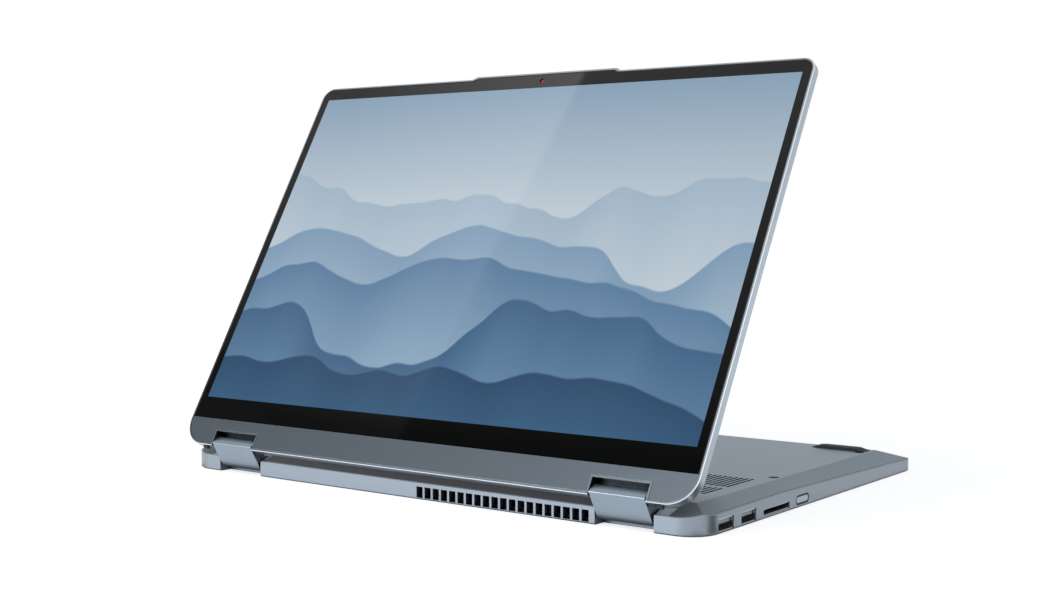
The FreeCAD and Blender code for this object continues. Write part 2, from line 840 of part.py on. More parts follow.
def make_hdmi():
    """Video socket with sloping lower corners and a middle tongue."""
    a = hdmi_hole[0] / 2 - trim_gap
    b = hdmi_hole[1] / 2 - trim_gap
    x0 = -half + shell_setback

    def section(inset, start):
        p, q = a - inset, b - inset
        cut = hdmi_corner - 0.4 * inset
        flat = [(-p, -q), (p, -q), (p, q - cut), (p - cut, q), (cut - p, q), (-p, q - cut)]
        return [(start, hdmi_at + y, port_level + z) for y, z in flat]

    shell = prism(section(0, x0), hdmi_depth, "x")
    shell = shell.cut(prism(section(shell_wall, x0 - 1), hdmi_depth - shell_wall, "x"))
    w = a - hdmi_corner
    x1 = x0 + hdmi_depth - shell_wall
    tongue = box(x0 + tongue_setback, x1, hdmi_at - w, hdmi_at + w, port_level - b / 3, port_level + b / 12)
    return shell.fuse(tongue).removeSplitter()


def make_usb_c():
    """Small oval socket with a centre tongue."""
    wide, high = usb_c_hole[0] - 2 * trim_gap, usb_c_hole[1] - 2 * trim_gap
    x0 = -half + shell_setback
    x1 = x0 + usb_c_depth
    shell = pill(x0, x1, usb_c_at, port_level, wide, high)
    w, h = wide - 2 * shell_wall, high - 2 * shell_wall
    hollow = pill(x0 - 1, x1 - shell_wall, usb_c_at, port_level, w, h)
    a, b = w / 2 - tongue_side, h / 8
    tongue = box(x0 + tongue_setback, x1, usb_c_at - a, usb_c_at + a, port_level - b, port_level + b)
    return shell.cut(hollow).fuse(tongue).removeSplitter()


def make_audio_jack():
    """Round headphone socket."""
    start = (-half + shell_setback, audio_at, port_level)
    barrel = rod(audio_barrel_radius, start, audio_depth)
    bore = (start[0] - 1, audio_at, port_level)
    return barrel.cut(rod(audio_bore_radius, bore, audio_depth))


def make_power_button():
    """Pill button with an inner flange that keeps it in the wall."""
    wide, high = button_size
    wide, high = wide - 2 * sweep_gap, high - 2 * sweep_gap
    inner = half - wall_thickness - seat_gap
    cap = pill(inner - lug_thickness, half - button_proud, button_at, button_level, wide, high)
    low = deck_thickness + trim_gap
    reach = wide / 2 + lug_reach
    lug = box(inner - lug_thickness, inner, button_at - reach, button_at + reach, low, lug_top)
    return cap.fuse(lug).removeSplitter()


def make_power_switch():
    """Small push switch standing on the deck behind the power button."""
    tip = half - wall_thickness - lug_thickness - button_travel - 3 * seat_gap
    x1 = tip - switch_tip
    y0, y1 = button_at - switch_half, button_at + switch_half
    body = box(x1 - switch_depth, x1, y0, y1, deck_thickness + seat_gap, lug_top)
    plunger = rod(switch_tip, (x1 - trim_gap, button_at, button_level), switch_tip + trim_gap)
    return body.fuse(plunger).removeSplitter()


def make_led():
    """Clear light rod beside the power button."""
    start = half - wall_thickness - tongue_setback
    return rod(led_radius - press_gap, (start, led_at, button_level), half - seat_gap - start)


def pad_slab(grow, z0, z1):
    """The touchpad's rounded outline, let out by a gap."""
    radius = touchpad_corner + grow
    y0, y1 = touchpad_rear - grow, touchpad_front + grow
    return rounded_slab(touchpad_width / 2 + grow, y0, y1, radius, radius, z0, z1)


def make_touchpad():
    """Click pad with rounded corners that turns about its keyboard-side edge."""
    return pad_slab(0, touchpad_top, touchpad_top + touchpad_thickness)


def make_touchpad_bracket():
    """Tray behind the touchpad, fixed to the deck all round."""
    w = touchpad_width / 2 + tray_border
    y0, y1 = touchpad_rear - tray_border, touchpad_front + tray_front
    low = deck_thickness + seat_gap
    tray = box(-w, w, y0, y1, low, low + tray_thickness)
    k = tray_wall
    roof = low + tray_thickness - tray_roof
    return tray.cut(box(k - w, w - k, y0 + k, y1 - tray_front + 1, low - 1, roof))


def make_keyboard_plate():
    """Steel sheet under the keys."""
    w = keyboard_width / 2 + well_margin + plate_seat
    y0 = keyboard_rear - rail_reach + plate_seat
    y1 = keyboard_front + rail_reach - plate_seat
    sheet = box(-w, w, y0, y1, plate_level, plate_level + sheet_thickness)
    holes = []
    k = dome_hole / 2
    for row, x0, x1, k0, k1 in key_shapes():
        if row and x1 - x0 < 1.1 * key_pitch:
            x, y = (x0 + x1) / 2, (k0 + k1) / 2
            holes.append(box(x - k, x + k, y - k, y + k, plate_level - 1, plate_level + 2))
    return sheet.cut(holes)


def make_fan():
    """Blower housing and its bladed wheel."""
    low = board_level
    high = base_thickness - cover_thickness - part_gap
    room = fan_radius + fan_room
    x0, x1 = fan_x - room - fan_wall, fan_x + room + fan_wall
    y0, y1 = fan_y - room - fan_duct, fan_y + room + fan_wall
    floor, roof = low + fan_skin, high - fan_skin
    body = box(x0, x1, y0, y1, low, high)
    scroll = rod(room, (fan_x, fan_y, floor), roof - floor, "z")
    duct = box(x0 + fan_wall, x1 - fan_wall, y0 - 1, fan_y, floor, roof)
    inlet = rod(0.72 * fan_radius, (fan_x, fan_y, roof - fan_skin), 3 * fan_skin, "z")
    k = fan_corner
    corner = [
        prism([(x, y1, low - 1), (x - way * k, y1, low - 1), (x, y1 - k, low - 1)], tall)
        for x, way in ((x0, -1), (x1, 1))
    ]
    z0, z1 = floor + sweep_gap, roof - sweep_gap
    pin = rod(fan_pin_radius, (fan_x, fan_y, low + fan_skin / 2), z1 - low - fan_skin / 2, "z")
    housing = body.cut([scroll, duct, inlet] + corner).fuse(pin).removeSplitter()
    wheel = rod(fan_hub_radius, (fan_x, fan_y, z0), z1 - z0, "z")
    t = fan_blade_thickness / 2
    r0, r1 = fan_hub_radius - 1, fan_radius
    bend, tip = blade_sweep
    plan = [(r0, -t), ((r0 + r1) / 2, bend - t), (r1, tip - t), (r1, tip + t)]
    plan += [((r0 + r1) / 2, bend + t), (r0, t)]
    blades = []
    for number in range(fan_blades):
        blade = prism([(fan_x + px, fan_y + py, z0) for px, py in plan], z1 - z0 - sweep_gap)
        blade.rotate(Vec(fan_x, fan_y, 0), Vec(0, 0, 1), number * 360.0 / fan_blades)
        blades.append(blade)
    wheel = wheel.fuse(blades)
    bore = rod(fan_pin_radius + running_gap, (fan_x, fan_y, z0 - 1), tall, "z")
    return housing, wheel.cut(bore).removeSplitter()


def clear_of_cover(top):
    """How far in from the rear wall a piece of this height first passes under the cover."""
    slope = (base_thickness - rear_wall_height) / rear_bevel
    return (top + cover_thickness + part_gap - rear_wall_height) / slope


def pipe_level():
    """Underside of the heat pipe and its spreader, on the processor."""
    return board_level + board_thickness + press_gap + chip_thickness + seat_gap


def fin_box():
    """Bounds of the fin stack behind the rear outlet, under the heat pipe."""
    top = pipe_level() - seat_gap
    y0 = max(wall_thickness + fin_wall_gap, clear_of_cover(top))
    low = deck_thickness + seat_gap
    return outlet_start + fin_margin, outlet_end - fin_margin, y0, y0 + fin_depth, low, top


def make_fins():
    """Comb of upright fins standing on one base strip."""
    x0, x1, y0, y1, z0, z1 = fin_box()
    stack = [box(x0, x1, y0, y1, z0, z0 + fin_thickness)]
    step = (x1 - x0 - fin_thickness) / (fin_count - 1)
    for number in range(fin_count):
        x = x0 + number * step
        stack.append(box(x, x + fin_thickness, y0, y1, z0, z1))
    return stack[0].fuse(stack[1:]).removeSplitter()


def chip_place():
    """Middle of the processor in plan."""
    return fan_x - chip_from_fan, fan_y + chip_behind_fan


def make_heat_pipe():
    """Flattened pipe from the spreader on the processor to the fins, bent in plan."""
    x0, x1, y0, y1, z0, z1 = fin_box()
    level = pipe_level()
    cx, cy = chip_place()
    r = pipe_width / 2
    run_y = clear_of_cover(level + pipe_thickness) + r
    turn_x = x0 + r
    way = [(cx, cy), (cx, run_y + turn_x - cx), (turn_x, run_y), (x1 - r, run_y)]
    w, d = spreader_size
    spreader = (cx - w / 2, cx + w / 2, cy - d / 2, cy + d / 2)
    pieces = [box(*spreader, level, level + spreader_thickness)]
    for (ax, ay), (bx, by) in zip(way, way[1:]):
        length = math.hypot(bx - ax, by - ay)
        run = box(0, length, -r, r, level, level + pipe_thickness)
        run.rotate(Vec(0, 0, 0), Vec(0, 0, 1), math.degrees(math.atan2(by - ay, bx - ax)))
        run.translate(Vec(ax, ay, 0))
        pieces.append(run)
        pieces.append(rod(r, (ax, ay, level), pipe_thickness, "z"))
    return pieces[0].fuse(pieces[1:]).removeSplitter()


def plug_in_card(x0, y0, size, packs):
    """A thin card lying above the board, with the packages on it."""
    low = board_level + board_thickness + card_lift
    top = low + card_thickness
    card = box(x0, x0 + size[0], y0, y0 + size[1], low, top)
    tall_packs = [box(*pack, top - press_gap, top + card_packs) for pack in packs]
    return card.fuse(tall_packs).removeSplitter()


def card_holder(x0, x1, y0, y1, mouth):
    """A connector on the board; the mouth is the space its card goes into."""
    low = board_level + board_thickness - press_gap
    body = box(x0, x1, y0, y1, low, low + holder_height)
    card = board_level + board_thickness + card_lift
    return body.cut(box(*mouth, card - seat_gap, card + card_thickness + seat_gap))


def make_boards():
    """Main board with its sockets, and what is soldered or plugged on it."""
    z = board_level
    face = z + board_thickness
    left = board_margin - keyboard_width / 2
    right = fan_x - fan_radius - fan_room - fan_wall - board_fan_gap
    rear, front = keyboard_rear + board_margin, keyboard_front - 2 * board_margin
    board = box(left, right, rear, front, z, face)
    side, deep = holder_side, holder_depth
    wide, high = ssd_size
    sx, sy = left + ssd_from_left, front - ssd_from_front - high
    ssd_end = sx + wide
    mouth = (ssd_end - deep, ssd_end + seat_gap, sy - trim_gap, sy + high + trim_gap)
    start = ssd_end - deep / 2
    holders = [card_holder(start, start + deep, sy - side, sy + high + side, mouth)]
    rx, ry = left + radio_from_left, rear + radio_from_rear
    long = radio_size[1]
    radio_end = rx + radio_size[0]
    mouth = (rx - trim_gap, radio_end + trim_gap, ry + long - deep, ry + long + seat_gap)
    start = ry + long - deep / 2
    holders.append(card_holder(rx - side, radio_end + side, start, start + deep, mouth))
    k = standoff_radius
    low = face - press_gap
    for x, y in ((sx + k, sy + high / 2), (rx + radio_size[0] / 2, ry + k)):
        holders.append(rod(k, (x, y, low), card_lift + press_gap - seat_gap, "z"))
    board = board.fuse(holders).removeSplitter()
    cx, cy = chip_place()
    w, d = chip_size
    low = face + press_gap
    chip = box(cx - w / 2, cx + w / 2, cy - d / 2, cy + d / 2, low, low + chip_thickness)
    memory = []
    for column in range(2):
        for row in (-1, 1):
            x = cx - w / 2 - memory_gap - memory_size[0] - column * memory_pitch[0]
            y = cy + row * memory_pitch[1] / 2 - memory_size[1] / 2
            ends = (x, x + memory_size[0], y, y + memory_size[1])
            memory.append(box(*ends, low, low + memory_thickness))
    a, b = ssd_pack
    packs = []
    for share in (0.15, 0.4, 0.68):
        x, y = sx + share * wide, sy + (high - b) / 2
        packs.append((x, x + a, y, y + b))
    a, b = radio_can
    x, y = rx + (radio_size[0] - a) / 2, ry + 2 * k
    return {
        "motherboard": [board],
        "processor": [chip],
        "memory_chips": memory,
        "ssd_module": [plug_in_card(sx, sy, ssd_size, packs)],
        "wireless_card": [plug_in_card(rx, ry, radio_size, [(x, x + a, y, y + b)])],
    }


def make_battery():
    """Four flat cells, the inner pair lying over the touchpad tray."""
    top = base_thickness - cover_thickness - cell_top_gap
    y0 = keyboard_front + rail_reach + cell_rear_gap
    y1 = base_depth - front_bevel - cell_front_gap
    tray = touchpad_width / 2 + tray_border
    low = deck_thickness + seat_gap
    start = tray + cell_side_gap
    cells = both(box(start, start + cell_width, y0, y1, low, top))
    over_tray = low + tray_thickness + seat_gap
    end = tray - cell_side_gap / 2
    return cells + both(box(cell_side_gap / 2, end, y0, y1, over_tray, top))


def make_speakers():
    """Speaker boxes in the front corners, with a sloping outer top edge."""
    x0 = touchpad_width / 2 + tray_border + cell_side_gap + cell_width + speaker_gap
    x1 = half - wall_thickness - speaker_side
    z0 = deck_thickness + seat_gap
    z1 = z0 + speaker_height
    y0, y1 = (base_depth - distance for distance in speaker_at)
    in_step, down_step = speaker_bevel
    profile = [(x0, z0), (x1, z0), (x1, z1 - down_step), (x1 - in_step, z1), (x0, z1)]
    return both(prism([(x, y0, z) for x, z in profile], y1 - y0, "y"))


def lid_slab(inset, z0, z1):
    """Plan outline of the lid in its own frame, drawn in by an inset, with the raised camera strip."""
    plate = rounded_slab(
        lid_width / 2 - inset,
        inset - lid_edge_below_axis,
        lid_top - inset,
        rear_corner_radius - inset,
        lid_top_radius - inset,
        z0,
        z1,
    )
    return plate.fuse(bump(inset, z0, z1)).removeSplitter()


def bump(inset, z0, z1):
    """The camera strip that stands proud of the lid's top edge."""
    a = bump_half - inset
    b = a - bump_slant
    y = lid_top - lid_top_radius
    top = lid_top + bump_rise - inset
    plan = [(-a, y), (a, y), (a, lid_top - inset), (b, top), (-b, top), (-a, lid_top - inset)]
    return prism([(px, py, z0) for px, py in plan], z1 - z0)


def lid_notch(grow):
    """The opening in the lid for one hinge block."""
    reach = hinge_width / 2 + lid_notch_gap + grow
    return box(hinge_centre - reach, hinge_centre + reach, -tall, lid_notch_top + grow, -tall, tall)


def lid_ear_span():
    """X range of the lid bracket's ear, on the middle side of the notch."""
    end = hinge_centre - hinge_width / 2 - lid_notch_gap - notch_wall
    return end - ear_width, end - trim_gap


def lid_bracket_screws():
    """Screw places on one lid bracket."""
    start = lid_ear_span()[0]
    return [(start - step, bracket_screw_rise) for step in bracket_screw_steps]


def make_lid_cover():
    """Lid shell: back, side walls, walls and a rear lip round the hinge notches, and the slider's slot."""
    plate = rounded_slab(
        lid_width / 2, -lid_edge_below_axis, lid_top,
        rear_corner_radius, lid_top_radius, -lid_thickness, 0,
    )
    back = [e for e in plate.Edges if max(v.Z for v in e.Vertexes) < 0.001 - lid_thickness]
    body = plate.makeFillet(lid_back_radius, back)
    front = [e for e in body.Edges if min(v.Z for v in e.Vertexes) > -0.001]
    body = body.makeChamfer(lid_front_chamfer, front)
    body = body.fuse(bump(0, bump_back, -lid_front_chamfer)).removeSplitter()
    room = rounded_slab(
        lid_width / 2 - lid_wall, lid_wall - lid_edge_below_axis, lid_top - lid_wall,
        rear_corner_radius - lid_wall, lid_top_radius - lid_wall, lid_back - lid_thickness, 1,
    )
    strip_room = bump(lid_wall, bump_back + lid_wall, 1)
    body = body.cut([room.cut(both(lid_notch(notch_wall))), strip_room])
    x0, x1 = hinge_centre - hinge_width, hinge_centre + hinge_width
    skin = lid_back - lid_thickness
    lip = box(x0, x1, lid_notch_top - lid_notch_lip, lid_notch_top, -lid_thickness, skin)
    cuts = both(lid_notch(0).cut(lip))
    axis = (lid_ear_span()[0] + 1, 0, -lid_axis_depth)
    cuts += both(rod(shaft_radius + trim_gap, axis, ear_width + 2))
    slot_start = -slider_plate[0] - 2 * slider_gap
    slot_end = slider_tab + shutter_travel + 2 * slider_gap
    low, high = slider_level
    top = lid_top + 2 * bump_rise
    cuts.append(box(slot_start, slot_end, lid_top - lid_wall, top, low - slider_gap, high + slider_gap))
    start = lid_back / 3 - lid_thickness
    for x, y in lid_bracket_screws():
        cuts += both(rod(bracket_screw_radius + press_gap, (x, y, start), lid_back, "z"))
    return body.cut(cuts + both(edge_pad(trim_gap, lid_wall)))


def edge_pad(grow, past):
    """A soft pad in the lid's hinge-side edge, let out by a gap and reaching past the wall."""
    x = hinge_centre + hinge_width / 2 + edge_pad_from_hinge
    a, b = edge_pad_half[0] + grow, edge_pad_half[1] + grow
    low = -lid_edge_below_axis - edge_pad_rise
    middle = -lid_thickness / 2
    return box(x - a, x + a, low, lid_wall - lid_edge_below_axis + past, middle - b, middle + b)


def make_lid_brackets():
    """Steel brackets along the lid's hinge edge, with an ear on each lid shaft, and their screws."""
    floor = lid_back - lid_thickness
    under = -glass_setback - glass_thickness
    ear0, ear1 = lid_ear_span()
    y0 = lid_wall - lid_edge_below_axis + trim_gap
    low = floor + seat_gap
    top = low + bracket_thickness
    ear = box(ear0, ear1, y0, shaft_radius + 2 * lid_wall, low, under - trim_gap)
    arm = box(ear0 - bracket_arm, ear1, 2 * lid_wall, chin_height - lid_wall, low, top)
    bracket = ear.fuse(arm).removeSplitter()
    cuts = [rod(shaft_radius + press_gap, (ear0 - 1, 0, -lid_axis_depth), ear_width + 2)]
    screws = []
    start = lid_back / 2 - lid_thickness
    for x, y in lid_bracket_screws():
        cuts.append(rod(bracket_screw_radius + trim_gap, (x, y, -tall), 2 * tall, "z"))
        head = rod(bracket_head_radius, (x, y, top + press_gap), bracket_head_height, "z")
        stem = rod(bracket_screw_radius, (x, y, start), top + trim_gap - start, "z")
        screws += both(head.fuse(stem))
    return both(bracket.cut(cuts)), screws


def make_camera(low, high):
    """Camera board, lens, sliding shutter and its mark, between two heights up the lid."""
    floor = lid_back - lid_thickness + seat_gap
    z0, z1 = slider_level
    left, right = slider_plate
    plate = box(-left, right, low, high, z0, z1)
    tab = box(-left, slider_tab, high - 2 * bump_rise / 5, lid_top + 1.2 * bump_rise, z0, z1)
    return {
        "webcam_module": [box(-webcam_half, webcam_half, low, high, floor, webcam_face)],
        "camera_lens": [rod(lens_radius, (0, camera_rise, webcam_face), lens_height, "z")],
        "privacy_shutter": [plate.fuse(tab).removeSplitter()],
        "shutter_mark": [rod(mark_radius, (0, camera_rise, z1), mark_thickness, "z")],
    }


def make_lid():
    """Everything carried by the lid, in the lid's own frame."""
    face = -glass_setback
    under = face - glass_thickness
    floor = lid_back - lid_thickness
    pieces = {"lid_back_cover": [make_lid_cover()]}
    low_half = box(-lid_width, lid_width, -tall, chin_height, -tall, tall)
    high_half = box(-lid_width, lid_width, chin_height + split_gap, lid_top + tall, -tall, tall)
    chin = lid_slab(lid_wall + trim_gap, under, face).common(low_half)
    pieces["chin_strip"] = [chin.cut(both(lid_notch(notch_wall + trim_gap)))]
    ring = lid_slab(lid_wall + seat_gap, under, face)
    ring = ring.cut(lid_slab(lid_wall + seat_gap + gasket_width, under - 1, 1))
    pieces["glass_gasket"] = [ring.common(high_half)]
    glass = lid_slab(lid_wall + 2 * seat_gap + gasket_width, under, face).common(high_half)
    window = rod(camera_radius, (0, camera_rise, -lid_thickness), 2 * lid_thickness, "z")
    pieces["touch_glass"] = [glass.cut(window)]
    side, below, above = panel_border
    w = screen_width / 2 + side
    y0 = screen_centre_rise - screen_height / 2 - below
    y1 = screen_centre_rise + screen_height / 2 + above
    back = under - seat_gap - panel_thickness
    pieces["display_panel"] = [box(-w, w, y0, y1, back, under - seat_gap)]
    inset, wide, short = adhesive_strip
    strip = box(w - inset - wide, w - inset, y0 + short, y1 - short, floor, back)
    pieces["panel_adhesive"] = both(strip)
    pieces["lid_hinge_brackets"], pieces["lid_hinge_screws"] = make_lid_brackets()
    low, high = y1 + gasket_width, lid_top - lid_wall - 4 * trim_gap
    pieces.update(make_camera(low, high))
    x1 = antenna_start + antenna_length
    foil = box(antenna_start, x1, low, high, floor + seat_gap, floor + gasket_width)
    pieces["wifi_antennas"] = both(foil)
    pieces["edge_pads"] = both(edge_pad(0, 0))
    return {name: [in_lid(s) for s in shapes] for name, shapes in pieces.items()}


def make_base():
    """Everything fixed in the base, and its own moving keys, pad, button and fan wheel."""
    brackets, bracket_screws = make_base_brackets()
    shells, tongues = make_usb_a()
    housing, wheel = make_fan()
    foot_x = half - front_foot_from_side
    foot_y = base_depth - front_foot_from_front
    pieces = {
        "top_case": [make_top_case()],
        "bottom_cover": [make_bottom_cover()],
        "bottom_screws": make_screws(),
        "rear_foot": [foot_bar(0, rear_foot_at, rear_foot, base_thickness)],
        "front_feet": both(foot_bar(foot_x, foot_y, front_foot, base_thickness)),
        "keyboard_plate": [make_keyboard_plate()],
        "touchpad": [make_touchpad()],
        "touchpad_bracket": [make_touchpad_bracket()],
        "fan_housing": [housing],
        "fan_wheel": [wheel],
        "fin_stack": [make_fins()],
        "heat_pipe": [make_heat_pipe()],
        "battery_cells": make_battery(),
        "speaker_boxes": make_speakers(),
        "usb_a_shells": shells,
        "usb_a_tongues": tongues,
        "card_reader": [make_card_reader()],
        "hdmi_socket": [make_hdmi()],
        "usb_c_socket": [make_usb_c()],
        "audio_jack": [make_audio_jack()],
        "power_button": [make_power_button()],
        "power_switch": [make_power_switch()],
        "status_led": [make_led()],
        "base_hinge_brackets": brackets,
        "base_hinge_screws": bracket_screws,
    }
    pieces.update(make_boards())
    for number in range(len(rows)):
        caps = [keycap(*cell) for row, *cell in key_shapes() if row == number]
        pieces["keys_row_%d" % (number + 1)] = caps
    return pieces


def middle_of(pieces):
    """Half way between the nearest and the farthest point of everything in Y."""
    bounds = [shape.optimalBoundingBox(False, False) for shapes in pieces.values() for shape in shapes]
    return (min(b.YMin for b in bounds) + max(b.YMax for b in bounds)) / 2


def export(pieces, middle):
    """Writes each node with the origin on the table under the middle of the whole."""
    os.makedirs("parts", exist_ok=True)
    for name, shapes in pieces.items():
        whole = shapes[0] if len(shapes) == 1 else Part.Compound(shapes)
        placed = whole.copy()
        placed.translate(Vec(0, -middle, 0))
        placed.exportStep("parts/%s.step" % name)


nodes = make_base()
nodes.update(make_hinge())
nodes.update(make_lid())
export(nodes, middle_of(nodes))
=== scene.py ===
"""Dresses a folding laptop computer that stands on its keyboard deck.

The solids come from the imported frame. This file gives every one of them its finish, eases the
edges that catch the light, and sets up the plain studio that the picture is taken in.
"""
import json
import logging
import math
from dataclasses import dataclass
from enum import Enum
from typing import Any, ClassVar, Iterable, Optional, Protocol, Sequence, Union

import bmesh
import bpy
from mathutils import Matrix, Vector

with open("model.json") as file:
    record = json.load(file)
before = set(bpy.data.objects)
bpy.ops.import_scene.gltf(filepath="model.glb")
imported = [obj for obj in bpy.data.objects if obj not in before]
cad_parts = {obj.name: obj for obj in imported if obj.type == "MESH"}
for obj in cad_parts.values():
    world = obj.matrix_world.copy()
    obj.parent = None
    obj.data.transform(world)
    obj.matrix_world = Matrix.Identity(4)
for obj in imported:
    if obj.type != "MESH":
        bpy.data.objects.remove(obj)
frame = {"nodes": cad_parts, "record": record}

logging.basicConfig(level=logging.INFO, format="%(name)s: %(message)s")
LOG = logging.getLogger("laptop")

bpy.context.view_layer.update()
PHOTO_WIDTH = 1060
MM = 0.001
# A Mix node's inputs share their names, so its two colours go by number.
MIX_A, MIX_B = 6, 7

Colour = tuple[float, float, float, float]
Point = tuple[float, float, float]
FlatPoint = tuple[float, float]
Material = bpy.types.Material
Tree = bpy.types.NodeTree
Node = bpy.types.Node
Socket = bpy.types.NodeSocket
Source = Union[Node, Socket]
Inputs = dict[Union[int, str], Any]


class Kind(Enum):
    """Blender's names of the node types in use."""

    OUTPUT = "ShaderNodeOutputMaterial"
    WORLD_OUTPUT = "ShaderNodeOutputWorld"
    SURFACE = "ShaderNodeBsdfPrincipled"
    MATT = "ShaderNodeBsdfDiffuse"
    GLOW = "ShaderNodeEmission"
    SKY = "ShaderNodeBackground"
    EITHER = "ShaderNodeMixShader"
    BOTH = "ShaderNodeAddShader"
    PLACE = "ShaderNodeTexCoord"
    STRETCH = "ShaderNodeMapping"
    AXES = "ShaderNodeSeparateXYZ"
    NOISE = "ShaderNodeTexNoise"
    BRICKS = "ShaderNodeTexBrick"
    BUMP = "ShaderNodeBump"
    OPENNESS = "ShaderNodeAmbientOcclusion"
    RAY = "ShaderNodeLightPath"
    MATH = "ShaderNodeMath"
    VECTOR = "ShaderNodeVectorMath"
    RANGE = "ShaderNodeMapRange"
    MIX = "ShaderNodeMix"
    STOPS = "ShaderNodeValToRGB"


class Axis(Enum):
    """The direction that a rolled or drawn surface shows its lines along.

    The values scale the grain, which is about seventeen times as long along the lines.
    """

    X = (0.06, 1.0, 1.0)
    Y = (1.0, 0.06, 1.0)
    Z = (1.0, 1.0, 0.06)
    NONE = (1.0, 1.0, 1.0)


class Edge(Enum):
    """How far the arris of a piece is eased, in millimetres."""

    MACHINED = 0.18
    MOULDED = 0.3
    FOLDED = 0.12


class Surface(Protocol):
    """Anything that makes a named material."""

    @property
    def name(self) -> str:
        """The real material and how its surface was made."""

    def build(self) -> Material:
        """Makes the material."""


class Card(Surface, Protocol):
    """A flat card of the set that only reflections show."""

    def outline(self) -> list[Vector]:
        """Corners of the card, in order."""


class Unit(Protocol):
    """A sub-assembly that can be given its finishes."""

    def dress(self, shop: "Workshop") -> None:
        """Gives the sub-assembly its finishes."""


def to_linear(code: str) -> Colour:
    """Turns an sRGB hex colour into the linear values that shaders take.

    Args:
        code: Colour as "#RRGGBB".

    Returns:
        Linear red, green, blue and a full alpha.
    """
    values = [int(code[i:i + 2], 16) / 255.0 for i in (1, 3, 5)]
    red, green, blue = (v / 12.92 if v <= 0.04045 else ((v + 0.055) / 1.055) ** 2.4
                        for v in values)
    return red, green, blue, 1.0


def add_node(tree: Tree, kind: Kind, inputs: Optional[Inputs] = None, **settings: Any) -> Node:
    """Adds one node to a tree.

    Args:
        tree: Node tree to add to.
        kind: Type of the node.
        inputs: For each input, by name or number, a value, or a socket to link from, or a node
            to link from by its first output in use.
        **settings: Properties of the node itself.

    Returns:
        The new node.
    """
    node = tree.nodes.new(kind.value)
    for name, value in settings.items():
        setattr(node, name, value)
    for key, value in (inputs or {}).items():
        if isinstance(value, Node):
            value = next(socket for socket in value.outputs if socket.enabled)
        if isinstance(value, Socket):
            tree.links.new(value, node.inputs[key])
        else:
            node.inputs[key].default_value = value
    return node


def per_metre(size_mm: float) -> float:
    """Texture scale, in repeats to the metre, of a pattern this many millimetres wide."""
    return 1.0 / (size_mm * MM)


def new_material(name: str) -> tuple[Material, Tree]:
    """Starts a material.

    Args:
        name: Name of the real material and its finish.

    Returns:
        The material and its node tree, which is empty.
    """
    material = bpy.data.materials.new(name)
    material.use_nodes = True
    tree = material.node_tree
    tree.nodes.clear()
    return material, tree


def joint_place(name: str) -> Point:
    """Place of one of the part's joints, in metres."""
    joints = frame["record"]["behaviour"]["joints"]
    return next(tuple(joint["pos_m"]) for joint in joints if joint["name"] == name)


@dataclass(frozen=True)
class PillGapShade:
    """Painted shade for the gap round a button with round ends in the right side wall, as a dark
    ring.

    Attributes:
        middle: Place of the button's middle along and up the wall, in millimetres.
        straight_mm: Half of the length of its straight part.
        inner_mm: Half of the height that the painted shade leaves bright.
        colour: Colour of the painted shade.
    """

    middle: FlatPoint
    straight_mm: float
    inner_mm: float
    colour: str

    def paint(self, tree: Tree, face: Source) -> Node:
        """Paints the shade of the gap as a dark ring on the button.

        Args:
            tree: Node tree to add to.
            face: Colour of the button's face.

        Returns:
            Colour with the groove.
        """
        place = add_node(tree, Kind.PLACE).outputs["Object"]
        middle = (0.0, self.middle[0] * MM, self.middle[1] * MM)
        offset = add_node(tree, Kind.VECTOR, {0: place, 1: middle}, operation="SUBTRACT")
        aside = add_node(tree, Kind.VECTOR, {0: offset}, operation="ABSOLUTE")
        # The metre across the wall takes X out of the sum.
        straight = (1.0, self.straight_mm * MM, 0.0)
        reach = add_node(tree, Kind.VECTOR, {0: aside, 1: straight}, operation="SUBTRACT")
        beyond = add_node(tree, Kind.VECTOR, {0: reach}, operation="MAXIMUM")
        away = add_node(tree, Kind.VECTOR, {0: beyond}, operation="LENGTH")
        # Outside the bright middle, the ring is painted shade for the gap round the button.
        inside = add_node(tree, Kind.MATH, {0: away, 1: self.inner_mm * MM}, operation="LESS_THAN")
        gap_shade = to_linear(self.colour)
        return add_node(tree, Kind.MIX, {0: inside, MIX_A: gap_shade, MIX_B: face}, data_type="RGBA")


